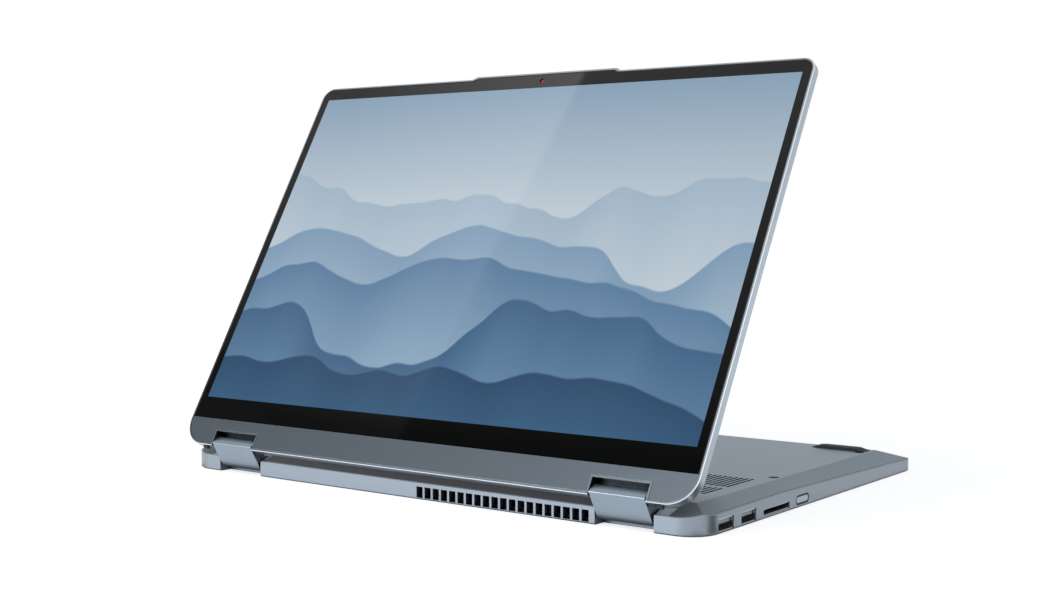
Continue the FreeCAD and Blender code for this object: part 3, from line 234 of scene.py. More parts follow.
@dataclass(frozen=True)
class Finish:
    """A surface with a fine grain and a broad, faint unevenness of tone.

    Attributes:
        name: The real material and how its surface was made.
        colour: Main colour.
        shade: Colour in the hollows of the grain.
        roughness: Mean roughness.
        metallic: 1 for bare metal, 0 for what holds none, and between for dyed or painted metal.
        grain_mm: Width of the grain.
        relief_mm: Height of the grain.
        lines: Direction of rolling or drawing lines, if any.
        coat: Strength of a clear layer on top.
        mottle: How much the tone wanders over some centimetres.
        transmission: Share of light that passes through.
        glow: Emission strength in the main colour.
        recess_shade_mm: Reach of the painted shade in gaps and recesses.
        recess_shade_own: Whether only the piece's own walls cast the painted shade, and not its
            neighbours.
        cut_facing: Direction of the face whose bevelled edge is cut bright, if there is one.
        gap_shade: Painted shade for the gap round a button, as a dark ring, if there is one.
        broad_mm: Width of the broad unevenness.
        grain_detail: How much finer unevenness the grain holds.
        tone_span: Where the tone starts and ends, since noise keeps to the middle of its range.
        spread: How far the roughness wanders, as a share of it.
        bump: Strength of the relief.
        cut_tone: Colour of a bright cut edge.
        cut_cosine: Cosine between a cut edge and its face, at about 45 degrees.
        cut_margin: How far that cosine may be off.
        recess_shade_tone: Colour of the painted shade in a recess.
        recess_shade_span: Shares of open sky at which the painted shade is full, and gone.
        recess_shade_rays: How many rays look for the sky.
    """

    name: str
    colour: str
    shade: str
    roughness: float
    metallic: float = 0.0
    grain_mm: float = 0.3
    relief_mm: float = 0.01
    lines: Axis = Axis.NONE
    coat: float = 0.0
    mottle: float = 0.25
    transmission: float = 0.0
    glow: float = 0.0
    recess_shade_mm: float = 0.0
    recess_shade_own: bool = False
    cut_facing: Optional[Point] = None
    gap_shade: Optional[PillGapShade] = None
    broad_mm: ClassVar[float] = 45.0
    grain_detail: ClassVar[float] = 3.0
    tone_span: ClassVar[FlatPoint] = (0.35, 0.65)
    spread: ClassVar[float] = 0.1
    bump: ClassVar[float] = 0.35
    cut_tone: ClassVar[str] = "#EEF2F5"
    cut_cosine: ClassVar[float] = 0.7
    cut_margin: ClassVar[float] = 0.22
    recess_shade_tone: ClassVar[str] = "#141A21"
    recess_shade_span: ClassVar[FlatPoint] = (0.35, 0.95)
    recess_shade_rays: ClassVar[int] = 16

    def build(self) -> Material:
        """Makes the material.

        Returns:
            A material whose colour, roughness and relief come from its grain.
        """
        material, tree = new_material(self.name)
        place: Source = add_node(tree, Kind.PLACE).outputs["Object"]
        if self.lines is not Axis.NONE:
            place = add_node(tree, Kind.STRETCH, {"Vector": place, "Scale": self.lines.value})
        grain = add_node(tree, Kind.NOISE, {
            "Vector": place, "Scale": per_metre(self.grain_mm), "Detail": self.grain_detail})
        broad = add_node(tree, Kind.NOISE, {"Vector": place, "Scale": per_metre(self.broad_mm)})
        mixed = add_node(tree, Kind.MATH, {0: broad, 1: self.mottle, 2: grain},
                         operation="MULTIPLY_ADD")
        hollow, crest = self.tone_span
        tone = add_node(tree, Kind.RANGE, {
            "Value": mixed, "From Min": hollow, "From Max": crest + self.mottle})
        skin = add_node(tree, Kind.MIX, {
            0: tone, MIX_A: to_linear(self.shade), MIX_B: to_linear(self.colour)},
            data_type="RGBA")
        rough = add_node(tree, Kind.RANGE, {
            "Value": grain, "To Min": (1.0 - self.spread) * self.roughness,
            "To Max": min(1.0, (1.0 + self.spread) * self.roughness)})
        relief = add_node(tree, Kind.BUMP, {
            "Height": grain, "Strength": self.bump, "Distance": self.relief_mm * MM})
        surface = add_node(tree, Kind.SURFACE, {
            "Base Color": self.paint(tree, skin), "Roughness": rough, "Normal": relief,
            "Metallic": self.metallic, "Coat Weight": self.coat,
            "Transmission Weight": self.transmission})
        if self.glow:
            surface.inputs["Emission Color"].default_value = to_linear(self.colour)
            surface.inputs["Emission Strength"].default_value = self.glow
        add_node(tree, Kind.OUTPUT, {"Surface": surface})
        return material

    def paint(self, tree: Tree, colour: Source) -> Source:
        """Adds what lies over the main colour.

        Args:
            tree: Node tree to add to.
            colour: Main colour with its grain.

        Returns:
            Colour with a bright cut edge and painted shade in recesses and round a button, if any.
        """
        if self.cut_facing is not None:
            colour = self.cut_edge(tree, colour)
        if self.recess_shade_mm:
            colour = self.paint_recess_shade(tree, colour)
        if self.gap_shade is not None:
            colour = self.gap_shade.paint(tree, colour)
        return colour

    def cut_edge(self, tree: Tree, colour: Source) -> Node:
        """Brightens the narrow slope round a face, where a cutter went through the dyed skin.

        Args:
            tree: Node tree to add to.
            colour: Colour of the skin.

        Returns:
            Colour with the bright slope.
        """
        facing = add_node(tree, Kind.PLACE).outputs["Normal"]
        turn = add_node(tree, Kind.VECTOR, {0: facing, 1: self.cut_facing},
                        operation="DOT_PRODUCT")
        slope = add_node(tree, Kind.MATH, {0: turn, 1: self.cut_cosine, 2: self.cut_margin},
                         operation="COMPARE")
        return add_node(tree, Kind.MIX, {
            0: slope, MIX_A: colour, MIX_B: to_linear(self.cut_tone)}, data_type="RGBA")

    def paint_recess_shade(self, tree: Tree, colour: Source) -> Node:
        """Paints shade into gaps and recesses.

        Args:
            tree: Node tree to add to.
            colour: Colour of the open surface.

        Returns:
            Colour that goes dark where little light gets in.
        """
        # Painted shade: the less open sky a point sees, the nearer its colour comes to the shade
        # tone.
        room = add_node(tree, Kind.OPENNESS, {"Distance": self.recess_shade_mm * MM},
                        samples=self.recess_shade_rays, only_local=self.recess_shade_own)
        dark, clear = self.recess_shade_span
        share = add_node(tree, Kind.RANGE, {
            "Value": room.outputs["AO"], "From Min": dark, "From Max": clear})
        return add_node(tree, Kind.MIX, {
            0: share, MIX_A: to_linear(self.recess_shade_tone), MIX_B: colour}, data_type="RGBA")


@dataclass(frozen=True)
class BoardLaminate:
    """Green glass-fibre circuit board: solder mask over copper tracks.

    The eye sees a glossy dark green with faint lighter lines.

    Attributes:
        name: The real material and how its surface was made.
        mask: Colour of the mask over bare laminate.
        track: Colour of the mask over copper.
        track_mm: Spacing of the tracks, drawn wider than the real 0.2 mm so that they show.
        cell_tracks: How many tracks run side by side in one cell of the pattern.
        line: Width of the line between cells, in the pattern's own measure.
        roughness: Roughness of the mask.
        relief_mm: Height of the mask over the tracks.
        bump: Strength of the relief.
    """

    name: str = "circuit_board_solder_mask"
    mask: str = "#123D2B"
    track: str = "#1F5A3E"
    track_mm: float = 1.6
    cell_tracks: int = 12
    line: float = 0.02
    roughness: float = 0.4
    relief_mm: float = 0.05
    bump: float = 0.2

    def build(self) -> Material:
        """Makes the material.

        Returns:
            A glossy green board with tracks.
        """
        material, tree = new_material(self.name)
        place = add_node(tree, Kind.PLACE).outputs["Object"]
        mask, track = to_linear(self.mask), to_linear(self.track)
        cells = add_node(tree, Kind.BRICKS, {
            "Vector": place, "Scale": per_metre(self.cell_tracks * self.track_mm),
            "Color1": mask, "Color2": track, "Mortar": track, "Mortar Size": self.line})
        waves = add_node(tree, Kind.NOISE, {"Vector": place, "Scale": per_metre(self.track_mm)})
        relief = add_node(tree, Kind.BUMP, {
            "Height": waves, "Strength": self.bump, "Distance": self.relief_mm * MM})
        surface = add_node(tree, Kind.SURFACE, {
            "Base Color": cells, "Roughness": self.roughness, "Normal": relief})
        add_node(tree, Kind.OUTPUT, {"Surface": surface})
        return material


@dataclass(frozen=True)
class LidPlane:
    """The lit area of the screen, in the frame of the whole computer.

    Attributes:
        lean_deg: How far the screen leans back from upright.
        axis: Place of the lid's hinge axis, in metres.
        rise_mm: From the axis up the screen to the middle of the lit area.
        depth_mm: From the axis out to the front of the glass.
        half_width_mm: Half of the lit width.
        half_height_mm: Half of the lit height.
    """

    lean_deg: float = 30.0
    axis: Point = joint_place("lid_hinge")
    rise_mm: float = 118.6
    depth_mm: float = 3.196
    half_width_mm: float = 150.8
    half_height_mm: float = 94.25

    def up(self) -> Vector:
        """Direction up the screen."""
        lean = math.radians(self.lean_deg)
        return Vector((0.0, math.sin(lean), math.cos(lean)))

    def foot(self) -> float:
        """Finds the lower edge of the lit area.

        Returns:
            Its place along the direction up the screen, in metres.
        """
        lean = math.radians(self.lean_deg)
        outward = Vector((0.0, -math.cos(lean), math.sin(lean)))
        middle = Vector(self.axis) + self.rise_mm * MM * self.up() + self.depth_mm * MM * outward
        return middle.dot(self.up()) - self.half_height_mm * MM


@dataclass(frozen=True)
class Ridge:
    """One range of hills in the screen's picture.

    Attributes:
        level: Height of its crest, as a share of the screen's height.
        swing: How far the crest rises and falls, as a share of the screen's height.
        width_mm: Width of one hill on the screen.
        crest: Colour at the crest.
        foot: Colour of the mist at its foot.
        seed: Where along the endless ridge the picture starts.
    """

    level: float
    swing: float
    width_mm: float
    crest: str
    foot: str
    seed: float


@dataclass(frozen=True)
class ScreenGlass:
    """Toughened touch glass over a lit picture, with a black printed border.

    The glass is smooth and shiny, so the border is black with clear reflections, and the picture
    under it gives its own light. The picture is a plain one: hills in mist.

    Attributes:
        name: The real material and how its surface was made.
        lid: Where the lit area lies.
        border: Colour of the black print.
        sky: Colours of the picture's sky, from the horizon up.
        sky_stops: Heights of those colours, as shares of the screen's height.
        light: Brightness of the lit picture.
        crest_blur: Softness of a crest, as a share of the screen's height.
        mist_depth: Height over which a range fades into mist, as a share of the screen's height.
        crest_detail: How much finer unevenness a crest holds.
        crest_rough: How strong that finer unevenness is.
        smear_mm: Width of the faint smears on the glass.
        smear_detail: How much finer unevenness a smear holds.
        smear_span: Roughness of the glass between smears and in them.
        ridges: Ranges of hills, from the far one to the near one.
    """

    name: str = "touch_glass_polished"
    lid: LidPlane = LidPlane()
    border: str = "#070808"
    sky: tuple[str, str, str] = ("#DDE6EC", "#B2C2CF", "#86A0B8")
    sky_stops: tuple[float, float, float] = (0.4, 0.72, 1.0)
    light: float = 0.92
    crest_blur: float = 0.006
    mist_depth: float = 0.3
    crest_detail: float = 2.5
    crest_rough: float = 0.42
    smear_mm: float = 30.0
    smear_detail: float = 4.0
    smear_span: FlatPoint = (0.02, 0.05)
    ridges: tuple[Ridge, ...] = (
        Ridge(0.66, 0.22, 95.0, "#A3B8CA", "#C3D0DA", 3.1),
        Ridge(0.52, 0.26, 120.0, "#7F9DB9", "#AEC1D1", 11.7),
        Ridge(0.40, 0.28, 140.0, "#5B7FA2", "#8FABC3", 21.4),
        Ridge(0.26, 0.24, 110.0, "#43678B", "#6D90B0", 33.9),
        Ridge(0.12, 0.22, 150.0, "#2F4F70", "#4C7296", 47.2),
    )

    def build(self) -> Material:
        """Makes the material.

        Returns:
            Shiny black glass with the picture in the lit area.
        """
        material, tree = new_material(self.name)
        place = add_node(tree, Kind.PLACE).outputs["Object"]
        across = add_node(tree, Kind.AXES, {0: place}).outputs["X"]
        rise = self.height_up(tree, place)
        picture = self.paint_sky(tree, rise)
        for ridge in self.ridges:
            picture = self.paint_ridge(tree, ridge, across, rise, picture)
        shown = add_node(tree, Kind.MIX, {
            0: self.lit_area(tree, across, rise), MIX_A: to_linear("#000000"), MIX_B: picture},
            data_type="RGBA")
        smears = add_node(tree, Kind.NOISE, {
            "Vector": place, "Scale": per_metre(self.smear_mm), "Detail": self.smear_detail})
        clean, smeared = self.smear_span
        rough = add_node(tree, Kind.RANGE, {"Value": smears, "To Min": clean, "To Max": smeared})
        surface = add_node(tree, Kind.SURFACE, {
            "Base Color": to_linear(self.border), "Roughness": rough,
            "Emission Color": shown, "Emission Strength": self.light})
        add_node(tree, Kind.OUTPUT, {"Surface": surface})
        return material

    def height_up(self, tree: Tree, place: Socket) -> Node:
        """Finds the height up the screen.

        Args:
            tree: Node tree to add to.
            place: Where on the glass.

        Returns:
            0 at the foot of the lit area and 1 at its top.
        """
        upward = add_node(tree, Kind.VECTOR, {0: place, 1: self.lid.up()}, operation="DOT_PRODUCT")
        foot = self.lid.foot()
        top = foot + 2 * self.lid.half_height_mm * MM
        return add_node(tree, Kind.RANGE, {"Value": upward, "From Min": foot, "From Max": top},
                        clamp=False)

    def paint_sky(self, tree: Tree, rise: Node) -> Node:
        """Paints the sky.

        Args:
            tree: Node tree to add to.
            rise: Height up the screen from 0 to 1.

        Returns:
            Colour of the sky.
        """
        shading = add_node(tree, Kind.STOPS, {"Fac": rise})
        stops = shading.color_ramp.elements
        stops[0].position, stops[1].position = self.sky_stops[0], self.sky_stops[2]
        stops.new(self.sky_stops[1])
        for stop, code in zip(stops, self.sky):
            stop.color = to_linear(code)
        return shading

    def paint_ridge(self, tree: Tree, ridge: Ridge, across: Socket, rise: Node,
                    behind: Node) -> Node:
        """Paints one range of hills over what lies behind it.

        Args:
            tree: Node tree to add to.
            ridge: The range.
            across: Place across the screen in metres.
            rise: Height up the screen from 0 to 1.
            behind: Colour painted so far.

        Returns:
            Colour with the range in front.
        """
        along = add_node(tree, Kind.MATH, {
            0: across, 1: per_metre(ridge.width_mm), 2: ridge.seed}, operation="MULTIPLY_ADD")
        outline = add_node(tree, Kind.NOISE, {
            "W": along, "Scale": 1.0, "Detail": self.crest_detail,
            "Roughness": self.crest_rough}, noise_dimensions="1D")
        crest = add_node(tree, Kind.MATH, {
            0: outline, 1: 2 * ridge.swing, 2: ridge.level - ridge.swing},
            operation="MULTIPLY_ADD")
        depth = add_node(tree, Kind.MATH, {0: crest, 1: rise}, operation="SUBTRACT")
        inside = add_node(tree, Kind.RANGE, {"Value": depth, "From Max": self.crest_blur})
        mist = add_node(tree, Kind.RANGE, {"Value": depth, "From Max": self.mist_depth})
        hill = add_node(tree, Kind.MIX, {
            0: mist, MIX_A: to_linear(ridge.crest), MIX_B: to_linear(ridge.foot)},
            data_type="RGBA")
        return add_node(tree, Kind.MIX, {0: inside, MIX_A: behind, MIX_B: hill}, data_type="RGBA")

    def lit_area(self, tree: Tree, across: Socket, rise: Node) -> Node:
        """Finds the part of the glass with the picture under it.

        Args:
            tree: Node tree to add to.
            across: Place across the screen in metres.
            rise: Height up the screen from 0 to 1.

        Returns:
            1 in the picture and 0 in the border.
        """
        aside = add_node(tree, Kind.MATH, {0: across}, operation="ABSOLUTE")
        within = add_node(tree, Kind.MATH, {0: aside, 1: self.lid.half_width_mm * MM},
                          operation="LESS_THAN")
        # Half of the height is 0.5, on both sides of the middle.
        offset = add_node(tree, Kind.MATH, {0: rise, 1: 0.5}, operation="SUBTRACT")
        level = add_node(tree, Kind.MATH, {0: offset}, operation="ABSOLUTE")
        between = add_node(tree, Kind.MATH, {0: level, 1: 0.5}, operation="LESS_THAN")
        return add_node(tree, Kind.MATH, {0: within, 1: between}, operation="MULTIPLY")


# Where a finish below has a recess reach, painted shade darkens its gaps and recesses.
# Aluminium, bead-blasted and dyed stone blue: an even satin with a fine sparkle.
# The blasted grain is far finer than a pixel, so here and on the other dyed or painted metal it
# is drawn about ten times as coarse.
CASE_METAL = Finish("anodised_aluminium_stone_blue", "#9EA9B4", "#97A2AE", roughness=0.34,
                    metallic=0.55, grain_mm=0.5, relief_mm=0.002, mottle=0.15, recess_shade_mm=6.0,
                    recess_shade_own=True)
# The same metal on the strip below the glass: darker by painted shade, with a clearer shine.
SHADED_CHIN_METAL = Finish("anodised_aluminium_chin_shaded", "#8D99A5", "#86929E", roughness=0.3, metallic=0.85,
                    grain_mm=0.5, relief_mm=0.003, mottle=0.15, recess_shade_mm=6.0)
# The lid's shell: the same satin, with a bright line where its front edge was cut after dyeing.
LID_METAL = Finish("anodised_aluminium_lid", "#AEBAC5", "#A6B2BE", roughness=0.28, metallic=0.9,
                   grain_mm=0.5, relief_mm=0.003, mottle=0.15, recess_shade_mm=6.0,
                   cut_facing=(0.0, -0.866, 0.5))
# Cast zinc, painted to match the case: the same satin, with a stronger shine.
HINGE_METAL = Finish("painted_zinc_hinge", "#9CA9B5", "#94A1AE", roughness=0.34, metallic=0.85,
                     grain_mm=0.6, relief_mm=0.003, mottle=0.12, recess_shade_mm=5.0)
# Glass-filled moulding, painted to match the case: duller, with a fine spark texture, and painted
# shade where the lid overhangs it.
COVER_PAINT = Finish("painted_moulding_stone_blue", "#90A3B2", "#889AA9", roughness=0.42,
                     metallic=0.6, grain_mm=0.5, relief_mm=0.006, mottle=0.15, recess_shade_mm=34.0)
# A milled metal button: light, with a dark ring of painted shade where it meets the wall.
BUTTON_METAL = Finish("anodised_aluminium_button", "#A7B3BE", "#9CA8B4", roughness=0.3,
                      metallic=0.85, grain_mm=0.4, relief_mm=0.003,
                      gap_shade=PillGapShade(middle=(-15.523, 3.65), straight_mm=4.45, inner_mm=1.35,
                                        colour="#0B0E11"))
# Black-oxide screws: dark, with a dull shine.
SCREW_STEEL = Finish("black_oxide_screw", "#2B2E31", "#1E2123", roughness=0.45, metallic=1.0,
                     grain_mm=0.5, relief_mm=0.004)
# Solid rubber: matt, charcoal, and faintly pebbled.
FOOT_RUBBER = Finish("moulded_rubber_foot", "#3A4147", "#31383D", roughness=0.75, grain_mm=0.5,
                     relief_mm=0.02)
# Soft rubber: matt and nearly black, so the glass seems to float in it.
GASKET_RUBBER = Finish("soft_rubber_gasket", "#17191B", "#101214", roughness=0.7, grain_mm=0.4)
# Key caps with a fine spark texture: a dull slate grey.
KEY_PLASTIC = Finish("moulded_abs_key", "#5C6670", "#545E68", roughness=0.55, grain_mm=0.25)
# Etched film over the pad: smoother than the deck round it, and close to its colour.
PAD_GLASS = Finish("etched_touchpad_film", "#98A4AF", "#909CA8", roughness=0.4, metallic=0.2,
                   grain_mm=0.2, relief_mm=0.003)
# Bare sheet steel: grey, with rolling lines.
STEEL = Finish("cold_rolled_steel", "#B4B7BA", "#8F9397", roughness=0.32, metallic=1.0,
               grain_mm=0.6, relief_mm=0.006, lines=Axis.X)
# Plated sheet shells: brighter and smoother than bare steel.
SOCKET_STEEL = Finish("nickel_plated_shell", "#C9CCCF", "#A9ADB1", roughness=0.25, metallic=1.0,
                      grain_mm=0.5, relief_mm=0.004, lines=Axis.X)
# Light plastic in the sockets: it catches the light inside a dark opening.
TONGUE_PLASTIC = Finish("moulded_grey_tongue", "#CDD4D8", "#C2C9CE", roughness=0.45,
                        relief_mm=0.006)
# Fine-grained black plastic: dull, with no clear reflections.
BLACK_PLASTIC = Finish("moulded_black_plastic", "#16181A", "#0F1113", roughness=0.5)
# Drawn copper: warm, with the lines that drawing leaves.
COPPER = Finish("drawn_copper_pipe", "#C47B54", "#A86342", roughness=0.3, metallic=1.0,
                grain_mm=0.8, relief_mm=0.006, lines=Axis.X)
# Blackened fins: the outlet slots look dark, with a faint gleam on the edges.
FIN_METAL = Finish("blackened_copper_fin", "#3A3D40", "#2C2F32", roughness=0.5, metallic=1.0,
                   grain_mm=0.5, relief_mm=0.004, lines=Axis.Z)
# Film round the cells: dark, half glossy, and a little wrinkled.
CELL_FILM = Finish("laminated_cell_film", "#25282B", "#1B1E20", roughness=0.45, grain_mm=1.2,
                   relief_mm=0.02)
# Metal frame of the panel: a brushed mid grey.
PANEL_BACK = Finish("display_panel_frame", "#6B7176", "#5F656A", roughness=0.4, metallic=0.8,
                    grain_mm=0.6, relief_mm=0.004, lines=Axis.Y)
# Printed red: a small bright dot, given a little light of its own so that it shows.
MARK_RED = Finish("printed_red_mark", "#E2404E", "#D63644", roughness=0.5, grain_mm=0.2,
                  relief_mm=0.002, glow=0.25)
# Coated lens: almost black, with a clear shine.
LENS_GLASS = Finish("coated_lens_glass", "#0B0C14", "#15101C", roughness=0.05, grain_mm=2.0,
                    relief_mm=0.001, coat=1.0)
# Clear light rod: pale and half see-through.
LED_CLEAR = Finish("clear_light_rod", "#DCE3E6", "#C9D2D6", roughness=0.15, grain_mm=0.5,
                   relief_mm=0.002, transmission=0.6)
# Etched foil: a dull brass-brown metal.
ANTENNA_FOIL = Finish("etched_copper_foil", "#B98A5A", "#9E7448", roughness=0.35, metallic=1.0,
                      grain_mm=0.7, relief_mm=0.004, lines=Axis.X)

SLOT_FINISH: dict[str, Surface] = {
    "case_metal": CASE_METAL, "lid_metal": LID_METAL, "hinge_metal": HINGE_METAL,
    "cover_plastic": COVER_PAINT, "button_metal": BUTTON_METAL, "foot_rubber": FOOT_RUBBER,
    "gasket_rubber": GASKET_RUBBER, "key_plastic": KEY_PLASTIC, "pad_glass": PAD_GLASS,
    "steel": STEEL, "socket_steel": SOCKET_STEEL, "black_plastic": BLACK_PLASTIC,
    "copper": COPPER, "fin_metal": FIN_METAL, "cell_film": CELL_FILM, "panel": PANEL_BACK,
    "mark_red": MARK_RED, "lens_glass": LENS_GLASS, "led_clear": LED_CLEAR,
    "antenna_foil": ANTENNA_FOIL, "board_green": BoardLaminate(), "screen_glass": ScreenGlass(),
}
# Nodes whose finish isn't the one that their slot has elsewhere.
NODE_FINISH: dict[str, Surface] = {
    "bottom_screws": SCREW_STEEL, "usb_a_tongues": TONGUE_PLASTIC, "chin_strip": SHADED_CHIN_METAL,
}


class Workshop:
    """Keeps the materials that are made once, and lays them on nodes.

    Attributes:
        weld_mm: Distance within which points of a mesh are one.
        sharp_deg: Least turn at an edge that is eased.
        edge_steps: How many facets ease an edge.
    """

    weld_mm: ClassVar[float] = 0.002
    sharp_deg: ClassVar[float] = 35.0
    edge_steps: ClassVar[int] = 2

    def __init__(self) -> None:
        """Starts with no materials, and looks up the slot of every node."""
        self.made: dict[str, Material] = {}
        self.slots = {part["node"]: part["material_slot"] for part in frame["record"]["subparts"]}

    def material(self, finish: Surface) -> Material:
        """Gives a finish's material, made on first use.

        Args:
            finish: The finish.

        Returns:
            Its material.
        """
        if finish.name not in self.made:
            self.made[finish.name] = finish.build()
        return self.made[finish.name]

    def ease(self, piece: bpy.types.Object, edge: Edge) -> None:
        """Eases the sharp edges of a piece, so that they catch the light.

        Args:
            piece: Object to ease.
            edge: How far.
        """
        weld = piece.modifiers.new("weld", "WELD")
        weld.merge_threshold = self.weld_mm * MM
        bevel = piece.modifiers.new("ease", "BEVEL")
        bevel.width = edge.value * MM
        bevel.segments = self.edge_steps
        bevel.limit_method = "ANGLE"
        bevel.angle_limit = math.radians(self.sharp_deg)
        flat = piece.modifiers.new("keep_flats", "WEIGHTED_NORMAL")
        flat.keep_sharp = True

    def dress(self, nodes: Iterable[str], edge: Optional[Edge] = None) -> None:
        """Gives nodes their finishes.

        Args:
            nodes: Names of the nodes.
            edge: How far their edges are eased, if at all.
        """
        for name in nodes:
            piece = frame["nodes"][name]
            finish = NODE_FINISH.get(name, SLOT_FINISH[self.slots[name]])
            piece.data.materials.clear()
            piece.data.materials.append(self.material(finish))
            if edge is not None:
                self.ease(piece, edge)
            LOG.info("dressed %s in %s", name, finish.name)


@dataclass
class BaseUnit:
    """The half with the keyboard: case, cover, feet, screws and button."""

    case_nodes: tuple[str, ...] = ("top_case",)
    cover_nodes: tuple[str, ...] = ("bottom_cover",)
    soft_nodes: tuple[str, ...] = ("rear_foot", "front_feet")
    plain_nodes: tuple[str, ...] = ("bottom_screws", "power_button", "status_led")

    def dress(self, shop: Workshop) -> None:
        """Gives the case and what closes it their finishes.

        Args:
            shop: Where the materials are kept.
        """
        shop.dress(self.case_nodes, Edge.MACHINED)
        shop.dress(self.cover_nodes, Edge.FOLDED)
        shop.dress(self.soft_nodes, Edge.MOULDED)
        shop.dress(self.plain_nodes)


@dataclass
class KeyDeck:
    """Keys, touchpad and what lies right under them."""

    key_rows: int = 6
    pad_nodes: tuple[str, ...] = ("touchpad", "touchpad_bracket", "keyboard_plate")

    def dress(self, shop: Workshop) -> None:
        """Gives the keys and the pad their finishes."""
        shop.dress([f"keys_row_{row + 1}" for row in range(self.key_rows)], Edge.MOULDED)
        shop.dress(self.pad_nodes)


@dataclass
class SidePorts:
    """The sockets in the two side walls, and the switch behind the button."""

    nodes: tuple[str, ...] = ("usb_a_shells", "usb_a_tongues", "card_reader", "hdmi_socket",
                              "usb_c_socket", "audio_jack", "power_switch")

    def dress(self, shop: Workshop) -> None:
        """Gives the sockets their finishes."""
        shop.dress(self.nodes)


@dataclass
class HingePair:
    """The two geared hinges."""

    cover_nodes: tuple[str, ...] = ("hinge_front_covers", "hinge_rear_covers",
                                    "base_hinge_brackets")
    steel_nodes: tuple[str, ...] = ("hinge_plates", "idler_pins", "idler_gears_low",
                                    "idler_gears_high", "base_hinge_shafts", "lid_hinge_shafts",
                                    "base_hinge_screws", "lid_hinge_screws", "lid_hinge_brackets")

    def dress(self, shop: Workshop) -> None:
        """Gives the covers paint and the works bare steel."""
        shop.dress(self.cover_nodes, Edge.MACHINED)
        shop.dress(self.steel_nodes)


@dataclass
class ScreenLid:
    """The half with the screen."""

    shell_nodes: tuple[str, ...] = ("lid_back_cover", "chin_strip")
    trim_nodes: tuple[str, ...] = ("glass_gasket", "display_panel", "panel_adhesive",
                                   "webcam_module", "camera_lens", "wifi_antennas", "edge_pads",
                                   "privacy_shutter", "shutter_mark", "touch_glass")

    def dress(self, shop: Workshop) -> None:
        """Gives the shell, the glass and the trim their finishes."""
        shop.dress(self.shell_nodes, Edge.FOLDED)
        shop.dress(self.trim_nodes)


@dataclass
class InnerWorks:
    """What the closed base holds: boards, cells, cooling and speakers."""

    nodes: tuple[str, ...] = ("motherboard", "processor", "memory_chips", "ssd_module",
                              "wireless_card", "battery_cells", "speaker_boxes", "fan_housing",
                              "fan_wheel", "fin_stack", "heat_pipe")

    def dress(self, shop: Workshop) -> None:
        """Gives the inner pieces their finishes."""
        shop.dress(self.nodes)


@dataclass(frozen=True)
class GreyCard:
    """A card of one even grey.

    Attributes:
        name: Name of the card.
        strength: Brightness, where 1 is white.
    """

    name: str
    strength: float

    def build(self) -> Material:
        """Makes the card's grey.

        Returns:
            A material of that brightness.
        """
        material, tree = new_material(self.name)
        glow = add_node(tree, Kind.GLOW, {"Strength": self.strength})
        add_node(tree, Kind.OUTPUT, {"Surface": glow})
        return material


@dataclass(frozen=True)
class StandingCard(GreyCard):
    """A card that stands beside the set and shows only in reflections, as a studio flag does.

    Attributes:
        azimuth: Direction of its middle from the set, in degrees from X towards Y.
        elevation: Height of its middle above the floor, in degrees.
        width: Width in degrees, as seen from the set.
        height: Height in degrees, as seen from the set.
        distance: How far it stands, in metres.
    """

    azimuth: float
    elevation: float
    width: float
    height: float
    distance: float = 2.4

    def outline(self) -> list[Vector]:
        """Finds the card's corners.

        Returns:
            Four points, in order round the card.
        """
        points = []
        for across, rise in ((-1, -1), (1, -1), (1, 1), (-1, 1)):
            turn = math.radians(self.azimuth + across * self.width / 2)
            lift = math.radians(self.elevation + rise * self.height / 2)
            level = self.distance * math.cos(lift)
            points.append(Vector((level * math.cos(turn), level * math.sin(turn),
                                  self.distance * math.sin(lift))))
        return points


@dataclass(frozen=True)
class FloorCard(GreyCard):
    """A dark card that lies on the floor as painted shadow, and shows only in reflections.

    Attributes:
        corners: Its outline, seen from above, in metres.
        lift: Height over the floor, in metres.
    """

    corners: tuple[FlatPoint, ...]
    lift: float = 0.1 * MM

    def outline(self) -> list[Vector]:
        """Corners of the card in the frame of the whole computer."""
        return [Vector((x, y, self.lift)) for x, y in self.corners]


